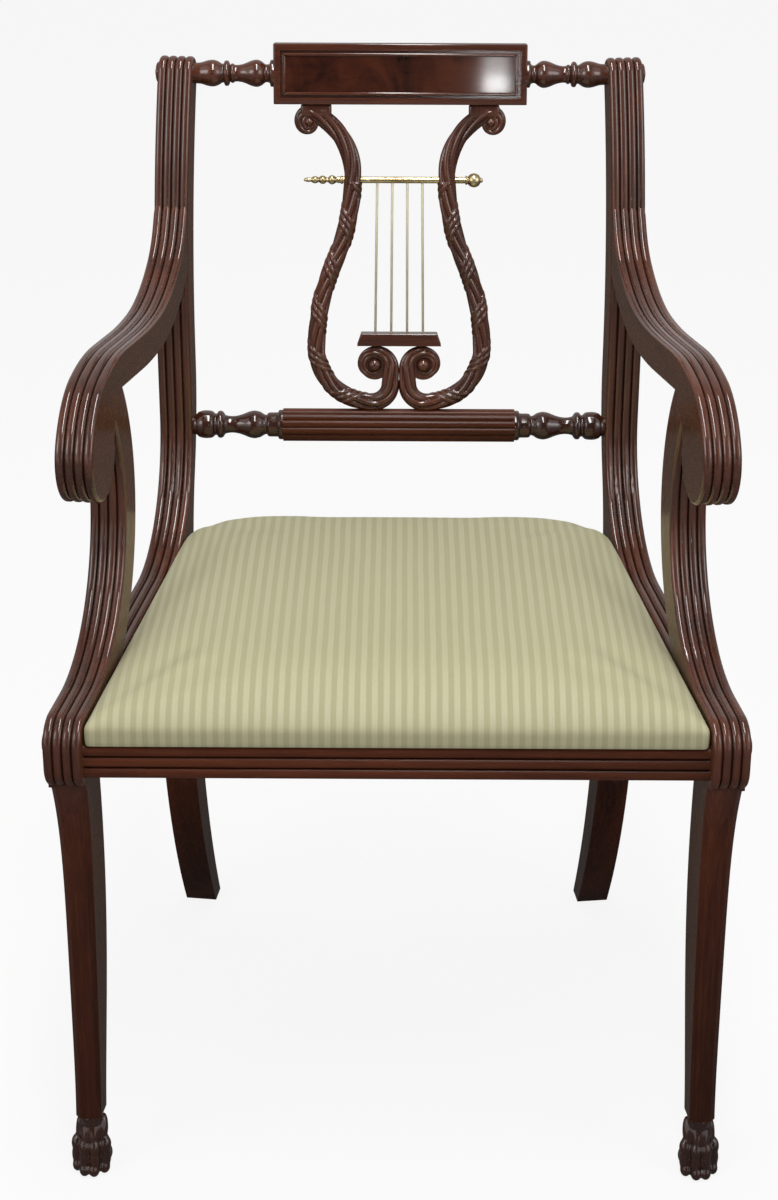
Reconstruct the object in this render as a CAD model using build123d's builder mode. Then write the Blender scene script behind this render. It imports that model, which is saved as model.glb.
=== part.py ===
from build123d import *
from math import asin, atan2, cos, degrees, radians, sin, sqrt, tan
import os

os.makedirs("parts", exist_ok=True)

# Lyre-back open armchair, in millimetres. +Z is up, the chair faces -Y, and the origin is on the floor
# under the middle of the chair. A side frame is a set of planks in one upright plane that turns inwards
# going back. Its sizes are given in that plane: "station" is the length from the knee's front.

# Side frames
knee_half_width = 268.0
frame_turn = 7.2
reed_count = 4
reed_pitch = 7.85
reed_round = 3.3
glue_gap = 0.15
hair = 0.01

# Seat rails
rail_top = 435.0
rail_height = 42.0
front_rail_height = 29.0
front_rail_depth = 24.0
front_rail_setback = 6.0
front_rail_reeds = 3
front_rail_round = 4.0
back_rail_depth = 22.0
back_rail_inset = 12.0

# Knee and front leg
knee_length = 60.0
knee_top = 457.0
knee_brow = 25.0
knee_front_height = 16.0
knee_lip = 22.0
knee_lip_turn = 60.0
knee_lip_step = 5.0
leg_chamfer = 4.5
leg_lean = 3.5
leg_top_front, leg_top_back, leg_top_width = 14.0, 59.0, 30.0
leg_calf_height, leg_calf_front, leg_calf_back, leg_calf_width = 330.0, 27.0, 71.0, 26.5
leg_shin_height, leg_shin_front, leg_shin_back, leg_shin_width = 230.0, 31.0, 73.0, 24.5
leg_shank_height, leg_shank_front, leg_shank_back, leg_shank_width = 130.0, 31.0, 61.0, 23.2
ankle_height, ankle_front, ankle_back, ankle_width = 58.0, 28.0, 51.0, 22.6
paw_toe_tip = 18.0
paw_length = 44.0
paw_width = 35.0
paw_instep_height = 30.0
paw_instep_length = 33.0
paw_instep_width = 31.0
paw_neck_length = 20.0
paw_neck_width = 19.0
paw_step = 4.0
toe_count = 4
toe_radius = 6.0
toe_sink = 0.6
knuckle_radius = 6.4
knuckle_height = 15.0

# Post and rear leg
stile_front = 454.0
stile_depth = 26.0
stile_low = 600.0
rake_low = 640.0
rake_radius = 620.0
back_rake_low = 620.0
roll_radius = 15.0
roll_height = 867.0
roll_undercut = 44.0
sweep_radius = 117.0
rear_leg_front = 405.0
rear_leg_depth = 38.0
rear_leg_hip = 400.0
rear_leg_straight = 330.0
rear_foot_front = 496.0
rear_foot_depth = 23.0

# Arm and its support
arm_thickness = 30.0
arm_dip_station = 340.0
arm_dip_rise = 15.65
arm_sweep_radius = 184.0
arm_sweep_turn = 29.0
arm_heel_radius = 70.0
arm_heel_turn = 30.0
arm_heel_length = 60.0
arm_rise_radius = 533.0
arm_rise_turn = 7.0
arm_rise_length = 60.0
arm_crown_radius = 243.0
arm_crown_turn = 17.0
arm_brow_radius = 80.0
arm_brow_turn = 50.0
scroll_radius = 39.5
scroll_turn = 203.0
scroll_step = 6.0
support_radius = 126.0
support_joint_angle = 35.0
support_thickness = 35.0

# Crest rail, stay rail and lyre
crest_half_width = 115.5
crest_height = 54.2
crest_depth = 22.0
crest_margin = 8.0
crest_recess = 2.0
bead_width = 3.0
bead_rise = 1.0
panel_thickness = 1.2
rail_peg_diameter = 12.0
rail_peg_length = 18.0
stay_station = 464.0
stay_height = 544.0
stay_half_length = 109.5
stay_diameter = 31.0
stay_reeds = 12
lyre_diameter = 17.0
lyre_waist = 43.4
lyre_waist_drop = 64.5
lyre_belly = 77.5
lyre_belly_height = 75.0
lyre_top_radius = 50.0
lyre_top_turn = 79.0
lyre_top_ball = 11.5
lyre_inner_radius = 18.0
lyre_volute_radius = 15.0
lyre_volute_half_gap = 22.8
lyre_volute_height = 57.8
lyre_volute_depth = 16.0
lyre_boss_diameter = 12.0
lyre_pad_width = 26.0
lyre_pad_shift = 6.0
lyre_foot_sink = 1.5
bridge_top_half = 35.5
bridge_bottom_half = 39.5
bridge_low = 76.7
bridge_height = 11.5
bridge_depth = 16.0
rod_drop = 69.0
rod_diameter = 6.0
rod_clearance = 0.3
rod_socket = 3.0
string_count = 4
string_pitch = 14.0
string_diameter = 2.0
ball_nub_diameter = 4.0
ball_diameter = 13.0
ball_centre = 68.5
rod_left_end = 89.0

# Turned profiles, as (length from the start, diameter)
crest_turning = (
    (0.0, 24.0),
    (3.0, 22.0),
    (6.5, 16.5),
    (15.5, 24.5),
    (25.0, 20.0),
    (33.0, 15.0),
    (39.0, 17.0),
    (43.0, 23.0),
    (47.0, 18.0),
    (56.5, 24.0),
    (67.0, 18.5),
)
stay_turning = (
    (0.0, 27.0),
    (6.0, 26.0),
    (10.0, 22.0),
    (15.0, 21.0),
    (18.0, 22.5),
    (26.0, 26.0),
    (37.0, 22.0),
    (47.5, 15.8),
    (55.0, 20.0),
    (59.0, 25.5),
    (63.0, 20.5),
    (71.0, 26.0),
    (78.0, 18.5),
)
finial_profile = ((0.0, 3.0), (3.0, 6.5), (7.0, 3.5), (11.0, 5.5), (15.0, 3.0), (19.0, 4.5), (23.0, 2.2))

# Bosses, dowels and blocks
boss_diameter = 18.5
boss_rise = 4.5
boss_spigot_diameter = 8.0
boss_spigot_length = 8.0
knee_boss_station = 20.0
knee_boss_height = 432.0
dowel_diameter = 8.0
dowel_length = 34.0
dowel_clearance = 0.2
dowel_inset = 9.0
arm_dowel_rise = 15.0
block_leg = 62.0
block_height = 24.0
block_drop = 3.0
screw_diameter = 4.0
screw_head_diameter = 8.0
screw_head_thickness = 3.0
screw_seat = 20.0
screw_bite = 14.0
screw_along = 37.0
screw_clearance = 0.3

# Drop-in seat
seat_clearance = 1.0
seat_lift_gap = 0.3
seat_front_setback = 9.0
seat_back_station = 437.0
seat_front_corner = 16.0
seat_back_corner = 42.0
cover_thickness = 1.4
layer_gap = 0.2
pad_gap = 0.6
seat_tuck = 2.0
seat_belly_height = 13.0
seat_edge_height = 24.0
seat_edge_inset = 2.5
seat_brow_height = 31.0
seat_brow_inset = 8.0
seat_shoulder_height = 37.0
seat_shoulder_inset = 21.0
seat_slope_height = 42.0
seat_slope_inset = 46.0
seat_crown_height = 46.0
seat_crown_inset = 88.0
seat_top_height = 48.0
seat_top_inset = 140.0
dust_cover_thickness = 0.6
seat_frame_thickness = 18.0
seat_frame_width = 45.0
webbing_thickness = 1.6
webbing_width = 50.0
webbing_count = 5
webbing_margin = 32.0

# Places worked out from the sizes above
turn = radians(frame_turn)
plank = reed_count * reed_pitch
roll_station = stile_front + rake_radius - sqrt(
    (rake_radius - roll_radius) ** 2 - (roll_height - rake_low) ** 2
)
front_reach = reed_round * cos(turn) - (plank / 2 - reed_round) * sin(turn) - reed_round
back_reach = (
    (roll_station + roll_radius - reed_round) * cos(turn) + (plank / 2 - reed_round) * sin(turn) + reed_round
)
front_y = -(front_reach + back_reach) / 2
rail_bottom = rail_top - rail_height
sweep_station = stile_front - sweep_radius
sweep_height = rail_top + sweep_radius
support_centre_height = knee_top + support_radius
support_back_radius = support_radius + support_thickness
joint_turn = radians(support_joint_angle)
arm_dip_height = support_centre_height + support_back_radius * sin(joint_turn) + arm_dip_rise
arm_dowel_height = arm_dip_height + arm_dowel_rise
support_foot = knee_length + sqrt(support_back_radius**2 - (support_centre_height - rail_top) ** 2)

side = Plane(
    origin=(knee_half_width, front_y, 0),
    x_dir=(-sin(turn), cos(turn), 0),
    z_dir=(cos(turn), sin(turn), 0),
)
lane_planes = [side.offset(lane * reed_pitch - plank / 2) for lane in range(reed_count)]


def level(height):
    """Flat plane over a side frame: x along the frame, y towards the middle of the chair."""
    return Plane(origin=(knee_half_width, front_y, height), x_dir=side.x_dir, z_dir=(0, 0, 1))


def depth_at(station, across=0.0):
    """World Y of a place in the side frame; across is measured outwards from the plank's middle."""
    return front_y + station * cos(turn) + across * sin(turn)


def inner_x(y, gap=0.0):
    """World X of the right side frame's inner face at depth y, less a gap."""
    return knee_half_width - (plank / 2 + gap) / cos(turn) - (y - front_y) * tan(turn)


def rake_front(height):
    """Station of the post's front above the straight part of the stile."""
    return stile_front + rake_radius - sqrt(rake_radius**2 - (height - rake_low) ** 2)


def reeded_lane(outline, reeded_run, thickness=reed_pitch, rounding=reed_round, cut=None):
    """One reed of a plank: the outline at one reed's width, rounded over along the reeded run."""
    with BuildPart() as lane:
        with BuildSketch():
            with BuildLine():
                add(outline)
            make_face()
            if cut is not None:
                add(cut, mode=Mode.SUBTRACT)
        extrude(amount=thickness)
        rims = lane.edges().filter_by(Axis.Z, reverse=True)
        reeds = rims.filter_by(
            lambda rim: min(
                run.distance_to(Vector((rim @ 0.5).X, (rim @ 0.5).Y, 0)) for run in reeded_run.edges()
            )
            < hair
        )
        fillet(reeds, rounding)
    return lane.part


def export_pair(right, name):
    """Write a right-hand piece and its mirror image."""
    right.part.label = name + "_right"
    export_step(right.part, "parts/" + name + "_right.step")
    with BuildPart() as left:
        mirror(right.part, about=Plane.YZ)
    left.part.label = name + "_left"
    export_step(left.part, "parts/" + name + "_left.step")


def export_piece(piece, name):
    """Write one piece under its name."""
    piece.part.label = name
    export_step(piece.part, "parts/" + name + ".step")


# Dowel places: planes at the middle of each joint, with the dowel along their z axis
def dowel_in_frame(station, height, along):
    """Dowel plane in the middle of a side frame; along is its direction in that plane."""
    centre = side.from_local_coords((station, height, 0))
    direction = side.x_dir * along[0] + side.y_dir * along[1]
    return Plane(origin=centre, z_dir=direction)


side_rail_heights = (rail_bottom + dowel_inset, rail_top - dowel_inset)
knee_rail_dowels = [dowel_in_frame(knee_length, height, (1, 0)) for height in side_rail_heights]
post_rail_dowels = [dowel_in_frame(rear_leg_front, height, (1, 0)) for height in side_rail_heights]
arm_dowels = [dowel_in_frame(rake_front(arm_dowel_height), arm_dowel_height, (1, 0))]
joint_radius = support_radius + support_thickness / 2
support_top_dowels = [
    dowel_in_frame(
        knee_length + joint_radius * cos(joint_turn),
        support_centre_height + joint_radius * sin(joint_turn),
        (-sin(joint_turn), cos(joint_turn)),
    )
]
support_foot_dowels = [
    dowel_in_frame(station, rail_top, (0, 1))
    for station in (knee_length + 3 * dowel_inset, support_foot - 2 * dowel_inset)
]
front_rail_y = front_y + front_rail_setback + front_rail_depth / 2
front_rail_heights = (rail_top - front_rail_height + dowel_inset, rail_top - dowel_inset)
front_rail_dowels = [
    Plane(origin=(inner_x(front_rail_y), front_rail_y, height), z_dir=(1, 0, 0))
    for height in front_rail_heights
]
back_rail_y = depth_at(rear_leg_front + back_rail_inset, -plank / 2) + back_rail_depth / 2
back_rail_dowels = [
    Plane(origin=(inner_x(back_rail_y), back_rail_y, height), z_dir=(1, 0, 0))
    for height in side_rail_heights
]


def drill(places, diameter=dowel_diameter + dowel_clearance, length=dowel_length + dowel_clearance):
    """Dowel holes, centred on the joints, in the piece being built."""
    with Locations(*places):
        Cylinder(diameter / 2, length, mode=Mode.SUBTRACT)


def dowels(places, name, length=dowel_length):
    """Right-hand dowels and their mirror images in one node."""
    with BuildPart() as pegs:
        with Locations(*places):
            Cylinder(dowel_diameter / 2, length)
        mirror(about=Plane.YZ)
    export_piece(pegs, name)


# Screws that hold the corner blocks, driven square to the rails from their heads' seats
front_block_y = front_y + front_rail_setback + front_rail_depth + glue_gap
back_block_y = back_rail_y - back_rail_depth / 2 - glue_gap
screw_height = (side_rail_heights[0] + side_rail_heights[1]) / 2


def rail_screw(corner_y, way):
    """Screw into the front or back rail; way is 1 where the block lies behind its rail."""
    seat = (inner_x(corner_y) - screw_along, corner_y + way * screw_seat, screw_height)
    return Plane(origin=seat, z_dir=(0, -way, 0))


def side_screw(corner_y, way):
    """Screw into the side rail."""
    side_y = corner_y + way * screw_along
    seat = Vector(inner_x(side_y), side_y, screw_height) - side.z_dir * screw_seat
    return Plane(origin=seat, z_dir=side.z_dir)


front_rail_screw = rail_screw(front_block_y, 1)
back_rail_screw = rail_screw(back_block_y, -1)
side_rail_screws = [side_screw(front_block_y, 1), side_screw(back_block_y, -1)]
block_screws = [front_rail_screw, back_rail_screw] + side_rail_screws


def pilot_holes(places):
    """Screw holes from the head's seat into the rail, in the piece being built."""
    with Locations(*places):
        Cylinder(
            (screw_diameter + screw_clearance) / 2,
            screw_seat + screw_bite + screw_clearance,
            align=(Align.CENTER, Align.CENTER, Align.MIN),
            mode=Mode.SUBTRACT,
        )


# Axis of the crest rail and of the stay rail where they enter the posts
crest_y = depth_at(roll_station, -plank / 2)
stay_y = depth_at(stay_station, -plank / 2)
back_lean = atan2(crest_y - stay_y, roll_height - stay_height)
back_length = sqrt((crest_y - stay_y) ** 2 + (roll_height - stay_height) ** 2)
back = Plane(
    origin=(0, stay_y, stay_height), x_dir=(1, 0, 0), z_dir=(0, -cos(back_lean), sin(back_lean))
)
peg_hole = rail_peg_diameter + dowel_clearance


def peg_plane(y, height):
    """Plane at the right post's inner face with its z axis along the rail's peg."""
    return Plane(origin=(inner_x(y), y, height), z_dir=(1, 0, 0))


# Back post: rolled top, raked stile and rear sabre leg in one plank
back_rake = stile_front + stile_depth
rake_angle = asin((roll_height - rake_low) / (rake_radius - roll_radius))
undercut = -rake_angle - radians(roll_undercut)
undercut_point = (
    roll_station + roll_radius * cos(undercut),
    roll_height + roll_radius * sin(undercut),
)
roll_tangent = (
    stile_front + rake_radius * (1 - cos(rake_angle)),
    rake_low + rake_radius * sin(rake_angle),
)
sweep_joint = (
    rear_leg_front,
    sweep_height - sqrt(sweep_radius**2 - (rear_leg_front - sweep_station) ** 2),
)
with BuildLine() as post_run:
    RadiusArc(sweep_joint, (stile_front, sweep_height), -sweep_radius)
    Line((stile_front, sweep_height), (stile_front, rake_low))
    RadiusArc((stile_front, rake_low), roll_tangent, rake_radius)
    ThreePointArc(
        roll_tangent, (roll_station + roll_radius * sin(turn), roll_height + roll_radius * cos(turn)),
        undercut_point,
    )
rear_leg_back = rear_leg_front + rear_leg_depth
hip_middle = ((back_rake + rear_leg_back) / 2, (stile_low + rear_leg_hip) / 2)
rear_foot_back = rear_foot_front + rear_foot_depth
with BuildLine() as post_outline:
    add(post_run.line)
    TangentArc((back_rake, back_rake_low), undercut_point, tangent=(0, 1))
    Line((back_rake, back_rake_low), (back_rake, stile_low))
    TangentArc((back_rake, stile_low), hip_middle, tangent=(0, -1))
    TangentArc((rear_leg_back, rear_leg_hip), hip_middle, tangent=(0, 1))
    Line((rear_leg_back, rear_leg_hip), (rear_leg_back, rear_leg_straight))
    TangentArc((rear_leg_back, rear_leg_straight), (rear_foot_back, 0), tangent=(0, -1))
    Line((rear_foot_back, 0), (rear_foot_front, 0))
    TangentArc((rear_leg_front, rear_leg_straight), (rear_foot_front, 0), tangent=(0, -1))
    Line((rear_leg_front, rear_leg_straight), sweep_joint)
post_lane = reeded_lane(post_outline.line, post_run.line)
post_boss_hole = Plane(side.from_local_coords((roll_station, roll_height, plank / 2)), z_dir=side.z_dir)
knee_boss_hole = Plane(
    side.from_local_coords((knee_boss_station, knee_boss_height, plank / 2)), z_dir=side.z_dir
)
boss_hole = boss_spigot_diameter + dowel_clearance
with BuildPart() as back_post:
    with Locations(*lane_planes):
        add(post_lane)
    drill(post_rail_dowels + back_rail_dowels + arm_dowels)
    drill([peg_plane(crest_y, roll_height)], peg_hole, 2 * (rail_peg_length + dowel_clearance))
    drill([peg_plane(stay_y, stay_height)], peg_hole, 2 * (rail_peg_length + dowel_clearance))
    drill([post_boss_hole], boss_hole, 2 * (boss_spigot_length + dowel_clearance))
export_pair(back_post, "back_post")

# Side rail: plain under the arm support, reeded behind it, sweeping up to the post
rail_front = knee_length + glue_gap
rail_back = rear_leg_front - glue_gap
rail_sweep_end = (
    rail_back,
    sweep_height - sqrt(sweep_radius**2 - (rail_back - sweep_station) ** 2),
)
with BuildLine() as rail_run:
    Line((support_foot, rail_top), (sweep_station, rail_top))
    TangentArc((sweep_station, rail_top), rail_sweep_end, tangent=(1, 0))
with BuildLine() as rail_outline:
    add(rail_run.line)
    Polyline(
        rail_sweep_end,
        (rail_back, rail_bottom),
        (rail_front, rail_bottom),
        (rail_front, rail_top),
        (support_foot, rail_top),
    )
rail_lane = reeded_lane(rail_outline.line, rail_run.line)
with BuildPart() as side_rail:
    with Locations(*lane_planes):
        add(rail_lane)
    drill(knee_rail_dowels + post_rail_dowels + support_foot_dowels)
    pilot_holes(side_rail_screws)
export_pair(side_rail, "side_rail")

# Front leg: reeded knee over a tapering sabre leg that ends in a paw
with BuildLine() as knee_run:
    Line((knee_length, knee_top), (knee_brow, knee_top))
    JernArc((knee_brow, knee_top), (-1, 0), knee_brow, 90)
    brow_end = (0, knee_top - knee_brow)
    lip_start = (0, knee_top - knee_brow - knee_front_height)
    Line(brow_end, lip_start)
    lip = JernArc(lip_start, (0, -1), knee_lip, knee_lip_turn)
with BuildLine() as knee_outline:
    add(knee_run.line)
    Polyline(
        lip @ 1,
        (lip @ 1) + Vector(-(lip % 1).Y, (lip % 1).X) * knee_lip_step,
        (leg_top_front, rail_bottom),
        (knee_length, rail_bottom),
        (knee_length, knee_top),
    )
knee_lane = reeded_lane(knee_outline.line, knee_run.line)
leg_stations = (
    (rail_bottom, leg_top_front, leg_top_back, leg_top_width),
    (leg_calf_height, leg_calf_front, leg_calf_back, leg_calf_width),
    (leg_shin_height, leg_shin_front, leg_shin_back, leg_shin_width),
    (leg_shank_height, leg_shank_front, leg_shank_back, leg_shank_width),
    (ankle_height, ankle_front, ankle_back, ankle_width),
)
ankle_middle = (ankle_front + ankle_back) / 2
paw_middle = paw_toe_tip + toe_radius + paw_length / 2
with BuildPart() as front_leg:
    for height, front, heel, width in leg_stations:
        lean = leg_lean * (rail_bottom - height) / (rail_bottom - ankle_height)
        with BuildSketch(level(height)) as section:
            with Locations(((front + heel) / 2, -lean)):
                Rectangle(heel - front, width)
            chamfer(section.vertices().group_by(Axis.X)[0], leg_chamfer)
    loft()
    with Locations(*lane_planes):
        add(knee_lane)
    paw_sections = (
        (ankle_height, ankle_middle, paw_neck_length, paw_neck_width),
        (ankle_height - 2 * paw_step, ankle_middle, paw_neck_length, paw_neck_width),
        (paw_instep_height, (ankle_middle + paw_middle) / 2, paw_instep_length, paw_instep_width),
        (2 * paw_step, paw_middle, paw_length, paw_width),
        (0, paw_middle, paw_length - paw_step, paw_width - paw_step),
    )
    for height, middle, length, width in paw_sections:
        with BuildSketch(level(height)):
            with Locations((middle, -leg_lean)):
                Ellipse(length / 2, width / 2)
    loft()
    for toe in range(toe_count):
        across = (toe - (toe_count - 1) / 2) / toe_count * (paw_width - paw_step)
        outer_step = paw_step * (abs(toe - (toe_count - 1) / 2) - 0.5)
        with Locations(level(toe_radius - toe_sink)):
            with Locations((paw_toe_tip + toe_radius + outer_step, across - leg_lean, 0)):
                Sphere(toe_radius)
        with Locations(level(knuckle_height)):
            with Locations((paw_toe_tip + 2 * toe_radius + outer_step, across - leg_lean, 0)):
                Sphere(knuckle_radius)
    split(bisect_by=Plane.XY, keep=Keep.TOP)
    drill(knee_rail_dowels + front_rail_dowels)
    drill([knee_boss_hole], boss_hole, 2 * (boss_spigot_length + dowel_clearance))
export_pair(front_leg, "front_leg")

# Arm: a reeded band from the post, over a dip and a crown, to a rolled front
joint_front = (
    knee_length + support_radius * cos(joint_turn),
    support_centre_height + support_radius * sin(joint_turn),
)
joint_back = (
    knee_length + support_back_radius * cos(joint_turn),
    support_centre_height + support_back_radius * sin(joint_turn),
)
arm_dip = (arm_dip_station, arm_dip_height)
arm_under = (arm_dip_station, arm_dip_height - arm_thickness)
with BuildLine() as arm_run:
    sweep_up = JernArc(arm_dip, (1, 0), arm_sweep_radius, arm_sweep_turn)
    heel = JernArc(sweep_up @ 1, sweep_up % 1, arm_heel_radius, arm_heel_turn)
    heel_up = PolarLine(heel @ 1, arm_heel_length, direction=heel % 1)
    rise = JernArc(arm_dip, (-1, 0), arm_rise_radius, -arm_rise_turn)
    rise_line = PolarLine(rise @ 1, arm_rise_length, direction=rise % 1)
    crown = JernArc(rise_line @ 1, rise % 1, arm_crown_radius, arm_crown_turn)
    brow = JernArc(crown @ 1, crown % 1, arm_brow_radius, arm_brow_turn)
    scroll = JernArc(brow @ 1, brow % 1, scroll_radius, scroll_turn)
with BuildLine() as arm_outline:
    add(arm_run.line)
    under_back = JernArc(arm_under, (1, 0), arm_sweep_radius + arm_thickness, 2 * arm_sweep_turn)
    under_front = JernArc(arm_under, (-1, 0), arm_rise_radius + arm_thickness, -arm_rise_turn)
    scroll_inside = (scroll @ 1) + Vector(-(scroll % 1).Y, (scroll % 1).X) * scroll_step
    Polyline(under_front @ 1, joint_back, joint_front, scroll_inside, scroll @ 1)
    Line(under_back @ 1, heel_up @ 1)
with BuildSketch() as behind_post:
    with BuildLine():
        cut_height = (heel_up @ 1).Y + arm_thickness
        post_top = (rake_front(cut_height) - glue_gap, cut_height)
        RadiusArc((stile_front - glue_gap, rake_low), post_top, rake_radius)
        Polyline(
            post_top,
            (stile_front + arm_sweep_radius, cut_height),
            (stile_front + arm_sweep_radius, rake_low),
            (stile_front - glue_gap, rake_low),
        )
    make_face()
arm_lane = reeded_lane(arm_outline.line, arm_run.line, cut=behind_post.sketch)
with BuildPart() as arm:
    with Locations(*lane_planes):
        add(arm_lane)
    drill(arm_dowels + support_top_dowels)
export_pair(arm, "arm")

# Arm support: a reeded C band that stands on the side rail behind the knee
support_top = joint_turn - glue_gap / support_radius
foot_low = rail_top + glue_gap
foot_front = knee_length + glue_gap
foot_back = knee_length + sqrt(support_back_radius**2 - (support_centre_height - foot_low) ** 2)
foot_top = support_centre_height - sqrt(support_radius**2 - glue_gap**2)


def on_support(radius, angle):
    """Point on the support's C, from its centre."""
    return (knee_length + radius * cos(angle), support_centre_height + radius * sin(angle))


with BuildLine() as support_run:
    ThreePointArc(
        (foot_front, foot_top), on_support(support_radius, 0), on_support(support_radius, support_top)
    )
with BuildLine() as support_outline:
    add(support_run.line)
    Line(on_support(support_radius, support_top), on_support(support_back_radius, support_top))
    ThreePointArc(
        on_support(support_back_radius, support_top),
        on_support(support_back_radius, 0),
        (foot_back, foot_low),
    )
    Polyline((foot_back, foot_low), (foot_front, foot_low), (foot_front, foot_top))
support_lane = reeded_lane(support_outline.line, support_run.line)
with BuildPart() as arm_support:
    with Locations(*lane_planes):
        add(support_lane)
    drill(support_top_dowels + support_foot_dowels)
export_pair(arm_support, "arm_support")


def plan_board(front, depth):
    """Plan of a rail that fits between the side frames' inner faces."""
    Polygon(
        (-inner_x(front, glue_gap), front),
        (inner_x(front, glue_gap), front),
        (inner_x(front + depth, glue_gap), front + depth),
        (-inner_x(front + depth, glue_gap), front + depth),
        align=None,
    )


def both_sides(places):
    """The places and their mirror images in the chair's middle plane."""
    mirrored = [
        Plane(origin=(-place.origin.X, place.origin.Y, place.origin.Z), z_dir=place.z_dir)
        for place in places
    ]
    return places + mirrored


# Front seat rail: three reeds between the knees
front_lane_height = front_rail_height / front_rail_reeds
with BuildPart() as front_lane:
    with BuildSketch():
        plan_board(front_y + front_rail_setback, front_rail_depth)
    extrude(amount=front_lane_height)
    fillet(front_lane.edges().filter_by(Axis.X).group_by(Axis.Y)[0], front_rail_round)
with BuildPart() as front_seat_rail:
    for lane in range(front_rail_reeds):
        with Locations((0, 0, rail_top - front_rail_height + lane * front_lane_height)):
            add(front_lane.part)
    drill(both_sides(front_rail_dowels))
    pilot_holes(both_sides([front_rail_screw]))
export_piece(front_seat_rail, "front_seat_rail")

# Back seat rail: a plain board between the posts
with BuildPart() as back_seat_rail:
    with BuildSketch(Plane.XY.offset(rail_bottom)):
        plan_board(back_rail_y - back_rail_depth / 2, back_rail_depth)
    extrude(amount=rail_height)
    drill(both_sides(back_rail_dowels))
    pilot_holes(both_sides([back_rail_screw]))
export_piece(back_seat_rail, "back_seat_rail")

dowels(knee_rail_dowels + post_rail_dowels, "side_rail_dowels")
dowels(front_rail_dowels, "front_rail_dowels")
dowels(back_rail_dowels, "back_rail_dowels")
dowels(arm_dowels, "arm_dowels")
dowels(support_top_dowels + support_foot_dowels, "support_dowels")


# Turned ends that carry the crest rail and the stay rail in the posts
def turned_end(start, reach, height, stations):
    """Right-hand turning along X at a height in the back: stations are (length from start, diameter)."""
    turning = Plane(origin=back.from_local_coords((start, height, 0)), x_dir=(1, 0, 0), z_dir=back.z_dir)
    last_length, last_diameter = stations[-1]
    with BuildPart() as turned:
        with BuildSketch(turning):
            with BuildLine():
                Line((0, 0), (0, stations[0][1] / 2))
                Spline([(length, diameter / 2) for length, diameter in stations])
                Polyline(
                    (last_length, last_diameter / 2),
                    (reach + plank, last_diameter / 2),
                    (reach + plank, 0),
                    (0, 0),
                )
            make_face()
        revolve(axis=Axis(turning.origin, turning.x_dir))
        split(bisect_by=side.offset(-plank / 2 - glue_gap), keep=Keep.BOTTOM)
        with Locations(Plane(origin=turning.origin, z_dir=(1, 0, 0))):
            Cylinder(
                rail_peg_diameter / 2,
                reach + rail_peg_length,
                align=(Align.CENTER, Align.CENTER, Align.MIN),
            )
    return turned.part


# Crest rail: tablet with turned ends, a bead round its face and a figured panel inside
crest_end = turned_end(crest_half_width, inner_x(crest_y) - crest_half_width, back_length, crest_turning)
recess_width = 2 * (crest_half_width - crest_margin)
recess_height = crest_height - 2 * crest_margin
face = back.offset(crest_depth / 2)
with BuildPart() as crest_rail:
    with BuildSketch(back):
        with Locations((0, back_length)):
            Rectangle(2 * crest_half_width, crest_height)
    extrude(amount=crest_depth / 2, both=True)
    fillet(crest_rail.edges().filter_by(Axis.X), bead_rise)
    with BuildSketch(face):
        with Locations((0, back_length)):
            Rectangle(recess_width, recess_height)
    extrude(amount=-crest_recess, mode=Mode.SUBTRACT)
    add(crest_end)
    mirror(crest_end, about=Plane.YZ)
export_piece(crest_rail, "crest_rail")

with BuildPart() as crest_panel:
    with BuildSketch(face.offset(-crest_recess)):
        with Locations((0, back_length)):
            Rectangle(
                recess_width - 2 * (bead_width + layer_gap), recess_height - 2 * (bead_width + layer_gap)
            )
    extrude(amount=panel_thickness)
export_piece(crest_panel, "crest_panel")

bead_half_width = recess_width / 2 - layer_gap
bead_half_height = recess_height / 2 - layer_gap
with BuildPart() as crest_bead:
    for half_length, half_span, spin in (
        (bead_half_width, bead_half_height, 0),
        (bead_half_height, bead_half_width, 90),
    ):
        with BuildSketch(face.offset(-crest_recess)):
            with Locations((0, back_length)):
                for flip in (0, 180):
                    with Locations(Rotation(0, 0, spin + flip)):
                        Polygon(
                            (-half_length + layer_gap, -half_span),
                            (half_length - layer_gap, -half_span),
                            (half_length - bead_width - layer_gap, bead_width - half_span),
                            (bead_width + layer_gap - half_length, bead_width - half_span),
                            align=None,
                        )
        extrude(amount=crest_recess + bead_rise)
export_piece(crest_bead, "crest_bead")

# Stay rail: a round bar with reeds along it and turned ends
stay_end = turned_end(stay_half_length, inner_x(stay_y) - stay_half_length, 0, stay_turning)
stay_reed_radius = stay_diameter / 2 * sin(radians(180 / stay_reeds)) / (1 + sin(radians(180 / stay_reeds)))
with BuildPart() as stay_rail:
    with BuildSketch(Plane(origin=back.origin, x_dir=back.z_dir, z_dir=(1, 0, 0))):
        Circle(stay_diameter / 2 - stay_reed_radius)
        with PolarLocations(stay_diameter / 2 - stay_reed_radius, stay_reeds):
            Circle(stay_reed_radius)
    extrude(amount=stay_half_length, both=True)
    add(stay_end)
    mirror(stay_end, about=Plane.YZ)
export_piece(stay_rail, "stay_rail")

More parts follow.
